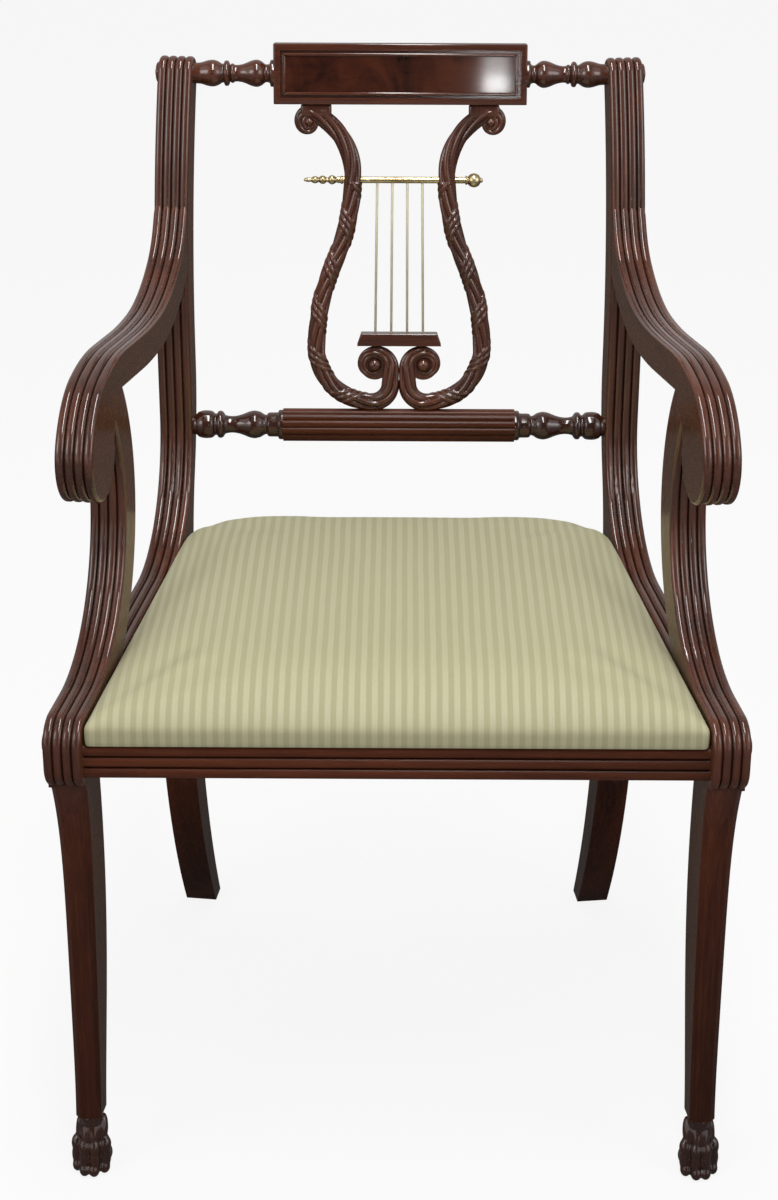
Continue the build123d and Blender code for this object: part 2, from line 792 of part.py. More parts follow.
# Lyre arms: carved rods that roll outwards under the tablet and inwards over the stay rail
foot_height = stay_diameter / 2 + lyre_diameter / 2 - lyre_foot_sink
belly_radius = lyre_belly_height - foot_height
belly_centre = lyre_belly - belly_radius
crest_low = back_length - crest_height / 2
lyre_waist_height = crest_low - lyre_waist_drop
rod_height = crest_low - rod_drop
lyre_end = (
    lyre_waist + lyre_top_radius * (1 - cos(radians(lyre_top_turn))),
    lyre_waist_height + lyre_top_radius * sin(radians(lyre_top_turn)),
)
waist_middle = ((lyre_waist + lyre_belly) / 2, (lyre_waist_height + lyre_belly_height) / 2)
with BuildLine() as lyre_path:
    top_arc = JernArc((lyre_waist, lyre_waist_height), (0, 1), lyre_top_radius, -lyre_top_turn)
    TangentArc((lyre_waist, lyre_waist_height), waist_middle, tangent=(0, -1))
    TangentArc((lyre_belly, lyre_belly_height), waist_middle, tangent=(0, 1))
    belly = JernArc((lyre_belly, lyre_belly_height), (0, -1), belly_radius, -90)
    curl = JernArc((belly_centre, foot_height), (-1, 0), lyre_inner_radius, -130)
rod_place = Plane(origin=back.from_local_coords((0, rod_height, 0)), z_dir=(1, 0, 0))
with BuildPart() as lyre_arm:
    with BuildSketch(
        Plane(origin=back.from_local_coords((lyre_waist, lyre_waist_height, 0)), z_dir=back.y_dir)
    ):
        Circle(lyre_diameter / 2)
    sweep(path=back.from_local_coords(lyre_path.wires()[0]))
    top_place = back.from_local_coords((lyre_end[0], lyre_end[1], 0))
    with Locations(Plane(origin=top_place, z_dir=back.z_dir)):
        Cylinder(lyre_top_ball, lyre_volute_depth)
    with BuildSketch(back):
        with Locations((lyre_end[0] - lyre_pad_shift, crest_low - glue_gap)):
            Rectangle(lyre_pad_width, lyre_diameter / 2, align=(Align.CENTER, Align.MAX))
    extrude(amount=lyre_volute_depth / 2, both=True)
    volute_place = back.from_local_coords((lyre_volute_half_gap, lyre_volute_height, 0))
    with Locations(Plane(origin=volute_place, z_dir=back.z_dir)):
        Cylinder(lyre_volute_radius, lyre_volute_depth)
        with Locations((0, 0, lyre_volute_depth / 2)):
            Sphere(lyre_boss_diameter / 2)
    with BuildSketch(Plane(origin=back.origin, z_dir=(1, 0, 0))):
        Circle(stay_diameter / 2 + glue_gap)
    extrude(amount=stay_half_length, mode=Mode.SUBTRACT)
    with Locations(rod_place):
        Cylinder((rod_diameter + rod_clearance) / 2, 2 * stay_half_length, mode=Mode.SUBTRACT)
    split(bisect_by=Plane.YZ.offset(glue_gap), keep=Keep.TOP)
export_pair(lyre_arm, "lyre_arm")

# Lyre bridge on the inner volutes
with BuildPart() as lyre_bridge:
    with BuildSketch(back):
        Polygon(
            (-bridge_bottom_half, bridge_low),
            (bridge_bottom_half, bridge_low),
            (bridge_top_half, bridge_low + bridge_height),
            (-bridge_top_half, bridge_low + bridge_height),
            align=None,
        )
    extrude(amount=bridge_depth / 2, both=True)
export_piece(lyre_bridge, "lyre_bridge")

# Brass rod, its finials and the strings
rod_right_end = ball_centre - ball_diameter / 2 + rod_socket
rod_neck_left = lyre_waist + lyre_diameter / 2 + rod_diameter
with BuildPart() as lyre_rod:
    with BuildSketch(Plane(origin=rod_place.from_local_coords((0, 0, -rod_neck_left)), z_dir=(1, 0, 0))):
        Circle(rod_diameter / 2)
    extrude(amount=rod_neck_left + rod_right_end)
export_piece(lyre_rod, "lyre_rod")

with BuildPart() as lyre_ball_finial:
    with BuildSketch(Plane(origin=rod_place.origin, x_dir=(1, 0, 0), z_dir=back.z_dir)):
        with Locations((ball_centre, 0)):
            Circle(ball_diameter / 2)
            with Locations((ball_diameter / 2, 0)):
                Circle(ball_nub_diameter / 2)
        split(bisect_by=Plane.XZ, keep=Keep.TOP)
    revolve(axis=Axis(rod_place.origin, (1, 0, 0)))
    with Locations(rod_place):
        Cylinder(
            (rod_diameter + glue_gap) / 2,
            rod_right_end + glue_gap,
            align=(Align.CENTER, Align.CENTER, Align.MIN),
            mode=Mode.SUBTRACT,
        )
export_piece(lyre_ball_finial, "lyre_ball_finial")

finial_length = rod_left_end - rod_neck_left - glue_gap
with BuildPart() as lyre_turned_finial:
    finial = Plane(
        origin=rod_place.from_local_coords((0, 0, -rod_neck_left - glue_gap)),
        x_dir=(-1, 0, 0),
        z_dir=-back.z_dir,
    )
    with BuildSketch(finial):
        with BuildLine():
            Line((0, 0), (0, finial_profile[0][1] / 2))
            Spline([(length, diameter / 2) for length, diameter in finial_profile])
            neck_length, neck_diameter = finial_profile[-1]
            Polyline(
                (neck_length, neck_diameter / 2),
                (finial_length, neck_diameter / 4),
                (finial_length, 0),
                (0, 0),
            )
        make_face()
    revolve(axis=Axis(finial.origin, finial.x_dir))
export_piece(lyre_turned_finial, "lyre_turned_finial")

string_low = bridge_low + bridge_height + glue_gap
string_high = rod_height - rod_diameter / 2 - glue_gap
with BuildPart() as lyre_strings:
    string_foot = back.from_local_coords((0, string_low, 0))
    with BuildSketch(Plane(origin=string_foot, x_dir=(1, 0, 0), z_dir=back.y_dir)):
        with GridLocations(string_pitch, string_pitch, string_count, 1):
            Circle(string_diameter / 2)
    extrude(amount=string_high - string_low)
export_piece(lyre_strings, "lyre_strings")


# Turned bosses on the outer faces of the post rolls and the knees
def bosses(place, name):
    """A domed button on a spigot, and its mirror image."""
    with BuildPart() as button:
        with Locations(place):
            Cylinder(
                boss_spigot_diameter / 2, boss_spigot_length, align=(Align.CENTER, Align.CENTER, Align.MAX)
            )
            with Locations((0, 0, glue_gap)):
                Cylinder(boss_diameter / 2, boss_rise, align=(Align.CENTER, Align.CENTER, Align.MIN))
        with Locations(place):
            Cylinder(boss_spigot_diameter / 2, boss_rise, align=(Align.CENTER, Align.CENTER, Align.MIN))
        rim = button.faces().sort_by(Axis(side.origin, side.z_dir))[-1]
        fillet(rim.edges(), boss_rise / 2)
        mirror(about=Plane.YZ)
    export_piece(button, name)


bosses(post_boss_hole, "post_bosses")
bosses(knee_boss_hole, "knee_bosses")

# Corner blocks inside the seat rails, each held by two screws
block_top = rail_top - block_drop
with BuildPart() as corner_blocks:
    for corner_y, step in ((front_block_y, block_leg), (back_block_y, -block_leg)):
        with BuildSketch(Plane.XY.offset(block_top)):
            Polygon(
                (inner_x(corner_y, glue_gap), corner_y),
                (inner_x(corner_y + step, glue_gap), corner_y + step),
                (inner_x(corner_y, glue_gap) - block_leg, corner_y),
                align=None,
            )
        extrude(amount=-block_height)
    pilot_holes(block_screws)
    with Locations(*block_screws):
        Cylinder(
            (screw_head_diameter + screw_clearance) / 2,
            block_leg,
            align=(Align.CENTER, Align.CENTER, Align.MAX),
            mode=Mode.SUBTRACT,
        )
    mirror(about=Plane.YZ)
export_piece(corner_blocks, "corner_blocks")

with BuildPart() as corner_block_screws:
    with Locations(*block_screws):
        Cylinder(
            screw_diameter / 2,
            screw_seat + screw_bite,
            align=(Align.CENTER, Align.CENTER, Align.MIN),
        )
        with Locations((0, 0, -glue_gap)):
            Cylinder(
                screw_head_diameter / 2,
                screw_head_thickness,
                align=(Align.CENTER, Align.CENTER, Align.MAX),
            )
        Cylinder(screw_diameter / 2, 2 * glue_gap)
    mirror(about=Plane.YZ)
export_piece(corner_block_screws, "corner_block_screws")


# Drop-in seat: frame, webbing and pad under a striped cover, lying loose on the rails
def seat_outline(inset):
    """Plan of the seat between the side frames, drawn in by an inset."""
    front = front_y + seat_front_setback + inset
    rear = depth_at(seat_back_station) - inset
    gap = seat_clearance + inset
    with BuildSketch(mode=Mode.PRIVATE) as outline:
        Polygon(
            (-inner_x(front, gap), front),
            (inner_x(front, gap), front),
            (inner_x(rear, gap), rear),
            (-inner_x(rear, gap), rear),
            align=None,
        )
        fillet(outline.vertices().group_by(Axis.Y)[0], seat_front_corner)
        fillet(outline.vertices().group_by(Axis.Y)[-1], seat_back_corner)
    return outline.sketch


def crowned(stations):
    """Soft form lofted through seat plans at (height over the rails, inset)."""
    with BuildPart() as form:
        for height, inset in stations:
            with BuildSketch(Plane.XY.offset(seat_base + height)):
                add(seat_outline(inset))
        loft(ruled=True)
    return form.part


seat_base = rail_top + seat_lift_gap
crown_stations = (
    (seat_edge_height, seat_edge_inset),
    (seat_brow_height, seat_brow_inset),
    (seat_shoulder_height, seat_shoulder_inset),
    (seat_slope_height, seat_slope_inset),
    (seat_crown_height, seat_crown_inset),
    (seat_top_height, seat_top_inset),
)


def lowered(drop):
    """The crown's stations, drawn in and lowered for a layer under the cover."""
    return tuple((height - drop, inset + drop) for height, inset in crown_stations)


with BuildPart() as seat_cover:
    add(crowned(((0.0, seat_tuck), (seat_belly_height, 0.0)) + crown_stations))
    add(
        crowned(
            ((-cover_thickness, seat_tuck + cover_thickness), (seat_belly_height, cover_thickness))
            + lowered(cover_thickness)
        ),
        mode=Mode.SUBTRACT,
    )
export_piece(seat_cover, "seat_cover")

frame_inset = seat_tuck + cover_thickness + 4 * layer_gap
frame_low = dust_cover_thickness + layer_gap
webbing_low = frame_low + seat_frame_thickness + layer_gap
pad_low = webbing_low + webbing_thickness + layer_gap
with BuildPart() as seat_dust_cover:
    with BuildSketch(Plane.XY.offset(seat_base)):
        add(seat_outline(frame_inset))
    extrude(amount=dust_cover_thickness)
export_piece(seat_dust_cover, "seat_dust_cover")

frame_front_y = front_y + seat_front_setback + frame_inset
frame_back_y = depth_at(seat_back_station) - frame_inset
board_width = 2 * knee_half_width
with BuildPart() as seat_frame_front:
    with BuildSketch(Plane.XY.offset(seat_base + frame_low)):
        add(seat_outline(frame_inset))
        with Locations((0, frame_front_y)):
            Rectangle(
                board_width, seat_frame_width, align=(Align.CENTER, Align.MIN), mode=Mode.INTERSECT
            )
    extrude(amount=seat_frame_thickness)
export_piece(seat_frame_front, "seat_frame_front")

with BuildPart() as seat_frame_back:
    with BuildSketch(Plane.XY.offset(seat_base + frame_low)):
        add(seat_outline(frame_inset))
        with Locations((0, frame_back_y)):
            Rectangle(
                board_width, seat_frame_width, align=(Align.CENTER, Align.MAX), mode=Mode.INTERSECT
            )
    extrude(amount=seat_frame_thickness)
export_piece(seat_frame_back, "seat_frame_back")

side_board_front = frame_front_y + seat_frame_width + glue_gap
side_board_back = frame_back_y - seat_frame_width - glue_gap
side_gap = seat_clearance + frame_inset
with BuildPart() as seat_frame_sides:
    with BuildSketch(Plane.XY.offset(seat_base + frame_low)):
        Polygon(
            (inner_x(side_board_front, side_gap), side_board_front),
            (inner_x(side_board_back, side_gap), side_board_back),
            (inner_x(side_board_back, side_gap + seat_frame_width), side_board_back),
            (inner_x(side_board_front, side_gap + seat_frame_width), side_board_front),
            align=None,
        )
    extrude(amount=seat_frame_thickness)
    mirror(about=Plane.YZ)
export_piece(seat_frame_sides, "seat_frame_sides")

webbing_length = frame_back_y - frame_front_y - 4 * webbing_thickness
webbing_reach = inner_x(frame_back_y, side_gap) - webbing_margin
webbing_pitch = (2 * webbing_reach - webbing_width) / (webbing_count - 1)
with BuildPart() as seat_webbing:
    with BuildSketch(Plane.XY.offset(seat_base + webbing_low)):
        with Locations((0, (frame_front_y + frame_back_y) / 2)):
            with GridLocations(webbing_pitch, webbing_length, webbing_count, 1):
                Rectangle(webbing_width, webbing_length)
    extrude(amount=webbing_thickness)
export_piece(seat_webbing, "seat_webbing")

pad_drop = cover_thickness + pad_gap
with BuildPart() as seat_pad:
    add(crowned(((pad_low, seat_edge_inset + pad_drop),) + lowered(pad_drop)))
export_piece(seat_pad, "seat_pad")
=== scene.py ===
import math
import bmesh
import bpy
from bmesh.types import BMEdge, BMVert
from mathutils import Matrix, Vector
from mathutils.geometry import interpolate_bezier


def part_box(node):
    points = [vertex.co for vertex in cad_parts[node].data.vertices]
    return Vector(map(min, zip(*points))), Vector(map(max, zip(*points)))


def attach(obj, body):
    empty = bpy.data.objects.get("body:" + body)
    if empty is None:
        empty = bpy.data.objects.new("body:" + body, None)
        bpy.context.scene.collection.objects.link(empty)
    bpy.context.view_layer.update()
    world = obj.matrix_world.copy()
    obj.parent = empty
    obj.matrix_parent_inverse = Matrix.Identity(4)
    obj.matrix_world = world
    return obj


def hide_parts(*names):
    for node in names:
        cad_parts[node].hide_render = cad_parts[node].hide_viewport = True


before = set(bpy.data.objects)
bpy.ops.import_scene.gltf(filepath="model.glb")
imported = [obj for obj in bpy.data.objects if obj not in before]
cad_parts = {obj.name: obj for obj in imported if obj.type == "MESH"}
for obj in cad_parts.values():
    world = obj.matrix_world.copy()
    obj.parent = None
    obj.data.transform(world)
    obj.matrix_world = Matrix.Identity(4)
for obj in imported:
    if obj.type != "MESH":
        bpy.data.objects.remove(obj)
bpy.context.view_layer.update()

# Back posts, side rails, arms and arm supports: mahogany planks sawn to shape, their front and top edges
# cut into four reeds and French polished. Dowels and glue join them into two side frames.
MM = 0.001
FRONT_Y = -262.02 * MM
TURN = math.radians(7.2)
KNEE_X = 268.0 * MM
PLANK_HALF = 15.7 * MM
side_frame = Matrix.Translation((KNEE_X, FRONT_Y, 0)) @ Matrix.Rotation(TURN, 4, "Z")
mirrored = Matrix.Scale(-1, 4, (1, 0, 0))
hand_frame = {"right": side_frame, "left": mirrored @ side_frame}
SEAM = 0.1 * MM
DOUBLES = 0.002 * MM
along_z, along_y, along_x = (1.0, 1.0, 0.06), (1.0, 0.06, 1.0), (0.06, 1.0, 1.0)


def socket(group, name, kind, way, value=None):
    made = group.interface.new_socket(name=name, in_out=way, socket_type=kind)
    if value is not None:
        made.default_value = value


def link(tree, start, end):
    tree.links.new(start, end)


def noise(tree, vector, scale, detail=4.0, roughness=0.55, distortion=0.0):
    node = tree.nodes.new("ShaderNodeTexNoise")
    node.inputs["Scale"].default_value = scale
    node.inputs["Detail"].default_value = detail
    node.inputs["Roughness"].default_value = roughness
    node.inputs["Distortion"].default_value = distortion
    link(tree, vector, node.inputs["Vector"])
    return node.outputs["Fac"]


def spread(tree, value, low, high, to_low=0.0, to_high=1.0):
    node = tree.nodes.new("ShaderNodeMapRange")
    node.inputs["From Min"].default_value = low
    node.inputs["From Max"].default_value = high
    node.inputs["To Min"].default_value = to_low
    node.inputs["To Max"].default_value = to_high
    link(tree, value, node.inputs["Value"])
    return node.outputs["Result"]


def blended(tree, share, first, second, how="MIX"):
    node = tree.nodes.new("ShaderNodeMix")
    node.data_type = "RGBA"
    node.blend_type = how
    for place, source in ((0, share), (6, first), (7, second)):
        if isinstance(source, (float, int, tuple)):
            node.inputs[place].default_value = source
        else:
            link(tree, source, node.inputs[place])
    return node.outputs[2]


def sums(tree, how, first, second):
    node = tree.nodes.new("ShaderNodeMath")
    node.operation = how
    for place, source in ((0, first), (1, second)):
        if isinstance(source, (float, int)):
            node.inputs[place].default_value = source
        else:
            link(tree, source, node.inputs[place])
    return node.outputs[0]


def grain_group():
    group = bpy.data.node_groups.new("mahogany_grain", "ShaderNodeTree")
    socket(group, "Grain", "NodeSocketVector", "INPUT")
    socket(group, "Dark", "NodeSocketColor", "INPUT")
    socket(group, "Light", "NodeSocketColor", "INPUT")
    socket(group, "Color", "NodeSocketColor", "OUTPUT")
    socket(group, "Roughness", "NodeSocketFloat", "OUTPUT")
    socket(group, "Height", "NodeSocketFloat", "OUTPUT")
    take = group.nodes.new("NodeGroupInput")
    give = group.nodes.new("NodeGroupOutput")
    grain = take.outputs["Grain"]
    ribbon = spread(group, noise(group, grain, 26.0, 3.0, distortion=0.6), 0.32, 0.68)
    streak = spread(group, noise(group, grain, 320.0, 5.0, 0.6), 0.3, 0.72)
    pores = spread(group, noise(group, grain, 1500.0, 2.0, 0.5), 0.6, 0.7)
    tone = sums(group, "ADD", sums(group, "MULTIPLY", ribbon, 0.6), sums(group, "MULTIPLY", streak, 0.4))
    colour = blended(group, tone, take.outputs["Dark"], take.outputs["Light"])
    flecked = blended(group, sums(group, "MULTIPLY", pores, 0.3), colour, take.outputs["Dark"])
    link(group, flecked, give.inputs["Color"])
    link(group, spread(group, streak, 0.0, 1.0, 0.2, 0.32), give.inputs["Roughness"])
    link(group, sums(group, "MULTIPLY", sums(group, "SUBTRACT", streak, pores), 0.3), give.inputs["Height"])
    return group


# Shared masks for the mahogany: the first marks worn edges from a bevel normal, the second is painted shade
# in grooves and hollows, taken from ambient occlusion.
def wear_and_shade_group():
    group = bpy.data.node_groups.new("rubbed_edges_and_painted_shade", "ShaderNodeTree")
    socket(group, "Radius", "NodeSocketFloat", "INPUT", 0.0015)
    socket(group, "Wear", "NodeSocketFloat", "OUTPUT")
    socket(group, "Painted Shade", "NodeSocketFloat", "OUTPUT")
    take = group.nodes.new("NodeGroupInput")
    give = group.nodes.new("NodeGroupOutput")
    bevel = group.nodes.new("ShaderNodeBevel")
    bevel.samples = 3
    link(group, take.outputs["Radius"], bevel.inputs["Radius"])
    surface = group.nodes.new("ShaderNodeNewGeometry")
    facing = group.nodes.new("ShaderNodeVectorMath")
    facing.operation = "DOT_PRODUCT"
    link(group, bevel.outputs["Normal"], facing.inputs[0])
    link(group, surface.outputs["Normal"], facing.inputs[1])
    link(group, spread(group, facing.outputs["Value"], 0.995, 0.8), give.inputs["Wear"])
    # Painted shade: ambient occlusion within 7 mm marks the reed grooves, carved hollows and inside
    # corners.
    hollow = group.nodes.new("ShaderNodeAmbientOcclusion")
    hollow.samples = 4
    hollow.only_local = True
    hollow.inputs["Distance"].default_value = 0.007
    link(group, spread(group, hollow.outputs["AO"], 0.9, 0.35), give.inputs["Painted Shade"])
    return group


grain_nodes = grain_group()
wear_and_shade_nodes = wear_and_shade_group()


def placed_group(tree, group):
    node = tree.nodes.new("ShaderNodeGroup")
    node.node_tree = group
    return node


def bare_material(name):
    material = bpy.data.materials.new(name)
    material.use_nodes = True
    tree = material.node_tree
    return material, tree, tree.nodes["Principled BSDF"]


def object_coordinates(tree, scale=(1.0, 1.0, 1.0), turn=(0.0, 0.0, 0.0), shift=(0.0, 0.0, 0.0)):
    place = tree.nodes.new("ShaderNodeTexCoord")
    mapping = tree.nodes.new("ShaderNodeMapping")
    mapping.inputs["Scale"].default_value = scale
    mapping.inputs["Rotation"].default_value = turn
    mapping.inputs["Location"].default_value = shift
    link(tree, place.outputs["Object"], mapping.inputs["Vector"])
    return mapping.outputs["Vector"]


def bumped(tree, shader, height, strength, distance):
    bump = tree.nodes.new("ShaderNodeBump")
    bump.inputs["Strength"].default_value = strength
    bump.inputs["Distance"].default_value = distance
    link(tree, height, bump.inputs["Height"])
    link(tree, bump.outputs["Normal"], shader.inputs["Normal"])


def polished_mahogany(name, grain, low_polish=0.2, high_polish=0.8, rubbed=0.35, shade=1.0, haze=0.13):
    material, tree, shader = bare_material(name)
    wood = placed_group(tree, grain_nodes)
    wood.inputs["Dark"].default_value = (0.027, 0.0066, 0.003, 1)
    wood.inputs["Light"].default_value = (0.13, 0.033, 0.0125, 1)
    link(tree, object_coordinates(tree, grain), wood.inputs["Grain"])
    wear_and_shade = placed_group(tree, wear_and_shade_nodes)
    wear = sums(tree, "MULTIPLY", wear_and_shade.outputs["Wear"], rubbed)
    worn = blended(tree, wear, wood.outputs["Color"], (0.2, 0.062, 0.028, 1))
    # Painted shade: the colour is darkened to near black in the grooves and hollows.
    painted_shade = sums(tree, "MULTIPLY", wear_and_shade.outputs["Painted Shade"], 0.8)
    painted_hollow_shade = blended(tree, painted_shade, worn, (0.004, 0.0016, 0.0012, 1))
    # Painted reflected light: faces turned sideways are lightened towards a warm tan, and their coat is
    # thinned.
    facing = tree.nodes.new("ShaderNodeSeparateXYZ")
    link(tree, tree.nodes.new("ShaderNodeNewGeometry").outputs["Normal"], facing.inputs["Vector"])
    flat_side = spread(tree, sums(tree, "ABSOLUTE", facing.outputs["X"], 0.0), 0.85, 0.98)
    painted_side_reflection = blended(tree, sums(tree, "MULTIPLY", flat_side, 0.5), painted_hollow_shade, (0.13, 0.062, 0.028, 1))
    # Below 32 cm the colour darkens towards the floor, to half at 5 cm.
    height = tree.nodes.new("ShaderNodeSeparateXYZ")
    link(tree, object_coordinates(tree), height.inputs["Vector"])
    toned = spread(tree, height.outputs["Z"], 0.05, 0.32, 0.5 * shade, shade)
    link(tree, blended(tree, 1.0, painted_side_reflection, toned, "MULTIPLY"), shader.inputs["Base Color"])
    link(tree, wood.outputs["Roughness"], shader.inputs["Roughness"])
    polish = spread(tree, height.outputs["Z"], 0.34, 0.46, low_polish, high_polish)
    polish = sums(tree, "MULTIPLY", polish, spread(tree, flat_side, 0.0, 1.0, 1.0, 0.4))
    polish = sums(tree, "SUBTRACT", polish, sums(tree, "MULTIPLY", wear, 0.4))
    link(tree, polish, shader.inputs["Coat Weight"])
    shader.inputs["Coat Roughness"].default_value = haze
    shader.inputs["Coat IOR"].default_value = 1.75
    shader.inputs["Specular IOR Level"].default_value = 0.08
    bumped(tree, shader, wood.outputs["Height"], 0.025, 0.0002)
    return material


def placed(name, data):
    holder = bpy.data.objects.new(name, data)
    bpy.context.scene.collection.objects.link(holder)
    return holder


def meshed(bm, name):
    mesh = bpy.data.meshes.new(name)
    bm.to_mesh(mesh)
    bm.free()
    return mesh


def finish_mesh(bm, name, material, body, stands_for=(), sharp=35.0):
    for face in bm.faces:
        face.smooth = True
    for edge in bm.edges:
        if len(edge.link_faces) == 2 and edge.calc_face_angle(0.0) > math.radians(sharp):
            edge.smooth = False
    piece = placed(name, meshed(bm, name))
    piece.data.materials.append(material)
    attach(piece, body)
    if stands_for:
        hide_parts(*stands_for)
    return piece


def cad_copy(node):
    bm = bmesh.new()
    bm.from_mesh(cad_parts[node].data)
    bmesh.ops.remove_doubles(bm, verts=bm.verts, dist=DOUBLES)
    bmesh.ops.dissolve_limit(bm, angle_limit=math.radians(0.05), verts=bm.verts, edges=bm.edges)
    return bm


def weighted(piece):
    normals = piece.modifiers.new("face_normals", "WEIGHTED_NORMAL")
    normals.keep_sharp = True
    normals.mode = "FACE_AREA"
    normals.weight = 50


def eased(piece, width=0.5 * MM, segments=2):
    edge = piece.modifiers.new("sanded_edges", "BEVEL")
    edge.width = width
    edge.segments = segments
    edge.limit_method = "ANGLE"
    edge.angle_limit = math.radians(50)


def planed(node, material, ease=True, bm=None):
    shape = cad_copy(node) if bm is None else bm
    piece = finish_mesh(shape, node + "_wood", material, "frame", (node,))
    if ease:
        eased(piece)
    weighted(piece)


def everything(bm):
    return bm.verts[:] + bm.edges[:] + bm.faces[:]


def four_lanes(hand):
    """A post cut down to its outer reed, which is then mirrored twice to make the plank of four reeds."""
    bm, place, lane = cad_copy("back_post_" + hand), hand_frame[hand], PLANK_HALF / 2
    bmesh.ops.triangulate(bm, faces=bm.faces)
    bmesh.ops.transform(bm, matrix=place.inverted(), verts=bm.verts)
    bmesh.ops.bisect_plane(
        bm, geom=everything(bm), dist=SEAM, plane_co=(lane, 0, 0), plane_no=(-1, 0, 0), clear_outer=True
    )
    for middle in (lane, 0):
        bmesh.ops.translate(bm, verts=bm.verts, vec=(-middle, 0, 0))
        seam = {vert for vert in bm.verts if abs(vert.co.x) < SEAM}
        for vert in seam:
            vert.co.x = 0
        inside = [face for face in bm.faces if seam.issuperset(face.verts)]
        bmesh.ops.delete(bm, geom=inside, context="FACES")
        bmesh.ops.mirror(bm, geom=everything(bm), axis="X", merge_dist=SEAM)
        bmesh.ops.translate(bm, verts=bm.verts, vec=(middle, 0, 0))
    bmesh.ops.transform(bm, matrix=place, verts=bm.verts)
    bmesh.ops.recalc_face_normals(bm, faces=bm.faces)
    return bm


upright_mahogany = polished_mahogany("mahogany_upright", along_z)
deep_mahogany = polished_mahogany("mahogany_front_to_back", along_y)
cross_mahogany = polished_mahogany("mahogany_across", along_x)
for hand in ("left", "right"):
    planed("back_post_" + hand, upright_mahogany, ease=False, bm=four_lanes(hand))
    planed("arm_support_" + hand, upright_mahogany)
    planed("side_rail_" + hand, deep_mahogany)
    planed("arm_" + hand, deep_mahogany)

# Front legs: a reeded knee block over a sabre leg with chamfered front corners, cut from one piece of
# mahogany. Each ends in a lion's paw carved in the round, with four knuckled toes on a flat sole.
ANKLE = 57.5 * MM
PAW_OUT = 3.5
PAW_MASSES = (
    ((PAW_OUT, 40.5, 52), (9.6, 10.4, 10.0), 0),
    ((PAW_OUT, 41, 38), (12.4, 12.5, 17.0), -8),
    ((PAW_OUT, 42, 20), (15.5, 15.0, 18.0), 6),
    ((PAW_OUT, 46, 9), (15.5, 17.5, 9.5), 0),
)
TOES = ((-12.6, 7.0), (-4.4, 0.0), (4.4, 0.0), (12.6, 7.0))
TOE_BONES = (
    (0.78, 33.5, 40, (4.6, 5.0, 14.5), -24),
    (1.0, 28.8, 27, (5.2, 5.6, 8.5), -14),
    (1.0, 27.5, 16, (4.9, 5.8, 12.0), -4),
    (0.95, 25.0, 6.4, (4.8, 6.0, 6.4), 0),
)
PAW_VOXEL = 0.9 * MM


def lump(bm, centre, radii, tilt):
    place = Matrix.Translation(Vector(centre) * MM) @ Matrix.Rotation(math.radians(tilt), 4, "X")
    size = Matrix.Diagonal((radii[0] * MM, radii[1] * MM, radii[2] * MM, 1))
    bmesh.ops.create_uvsphere(bm, u_segments=28, v_segments=20, radius=1.0, matrix=place @ size)


def baked_mesh(piece):
    return bpy.data.meshes.new_from_object(piece.evaluated_get(bpy.context.evaluated_depsgraph_get()))


def only(parts, kind):
    return [part for part in parts if isinstance(part, kind)]


def sawn(bm, height, outward):
    """Saws off what lies past a level plane, above or below it, and closes the cut."""
    cut = bmesh.ops.bisect_plane(
        bm, geom=everything(bm), plane_co=(0, 0, height), plane_no=(0, 0, outward), clear_outer=True
    )
    bmesh.ops.holes_fill(bm, edges=only(cut["geom_cut"], BMEdge))


def carved_paw(hand):
    bm = bmesh.new()
    for mass in PAW_MASSES:
        lump(bm, *mass)
    for across, back in TOES:
        for share, forward, height, radii, tilt in TOE_BONES:
            lump(bm, (PAW_OUT + share * across, forward + back, height), radii, tilt)
    block = placed("paw_block", meshed(bm, "paw_block"))
    join = block.modifiers.new("one_block", "REMESH")
    join.mode = "VOXEL"
    join.voxel_size = PAW_VOXEL
    soften = block.modifiers.new("rubbed", "SMOOTH")
    soften.factor = 0.5
    soften.iterations = 9
    shaped = baked_mesh(block)
    bpy.data.objects.remove(block)
    bm = bmesh.new()
    bm.from_mesh(shaped)
    bpy.data.meshes.remove(shaped)
    sawn(bm, 0, -1)
    sawn(bm, ANKLE, 1)
    bmesh.ops.transform(bm, matrix=hand_frame[hand], verts=bm.verts)
    bmesh.ops.recalc_face_normals(bm, faces=bm.faces)
    finish_mesh(bm, "paw_foot_" + hand, paw_mahogany, "frame", sharp=60.0)


paw_mahogany = polished_mahogany("mahogany_paw", along_z, low_polish=0.8, haze=0.16)
for hand in ("left", "right"):
    node = "front_leg_" + hand
    bm = cad_copy(node)
    sawn(bm, ANKLE, -1)
    planed(node, upright_mahogany, bm=bm)
    carved_paw(hand)

# Front and back seat rails: straight mahogany rails dowelled between the legs, the front one with three
# reeds. Behind them are glued and screwed corner blocks of sanded beech and the beech dowels.
satin_mahogany = polished_mahogany("mahogany_satin", along_x, high_polish=0.12, haze=0.35)
planed("front_seat_rail", satin_mahogany)
planed("back_seat_rail", satin_mahogany)


def sanded_beech(name, grain):
    material, tree, shader = bare_material(name)
    wood = placed_group(tree, grain_nodes)
    wood.inputs["Dark"].default_value = (0.36, 0.22, 0.11, 1)
    wood.inputs["Light"].default_value = (0.58, 0.39, 0.22, 1)
    link(tree, object_coordinates(tree, grain), wood.inputs["Grain"])
    link(tree, wood.outputs["Color"], shader.inputs["Base Color"])
    link(tree, spread(tree, wood.outputs["Roughness"], 0.2, 0.32, 0.5, 0.7), shader.inputs["Roughness"])
    bumped(tree, shader, wood.outputs["Height"], 0.3, 0.0003)
    return material


def dress(node, material):
    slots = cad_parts[node].data.materials
    slots.clear()
    slots.append(material)


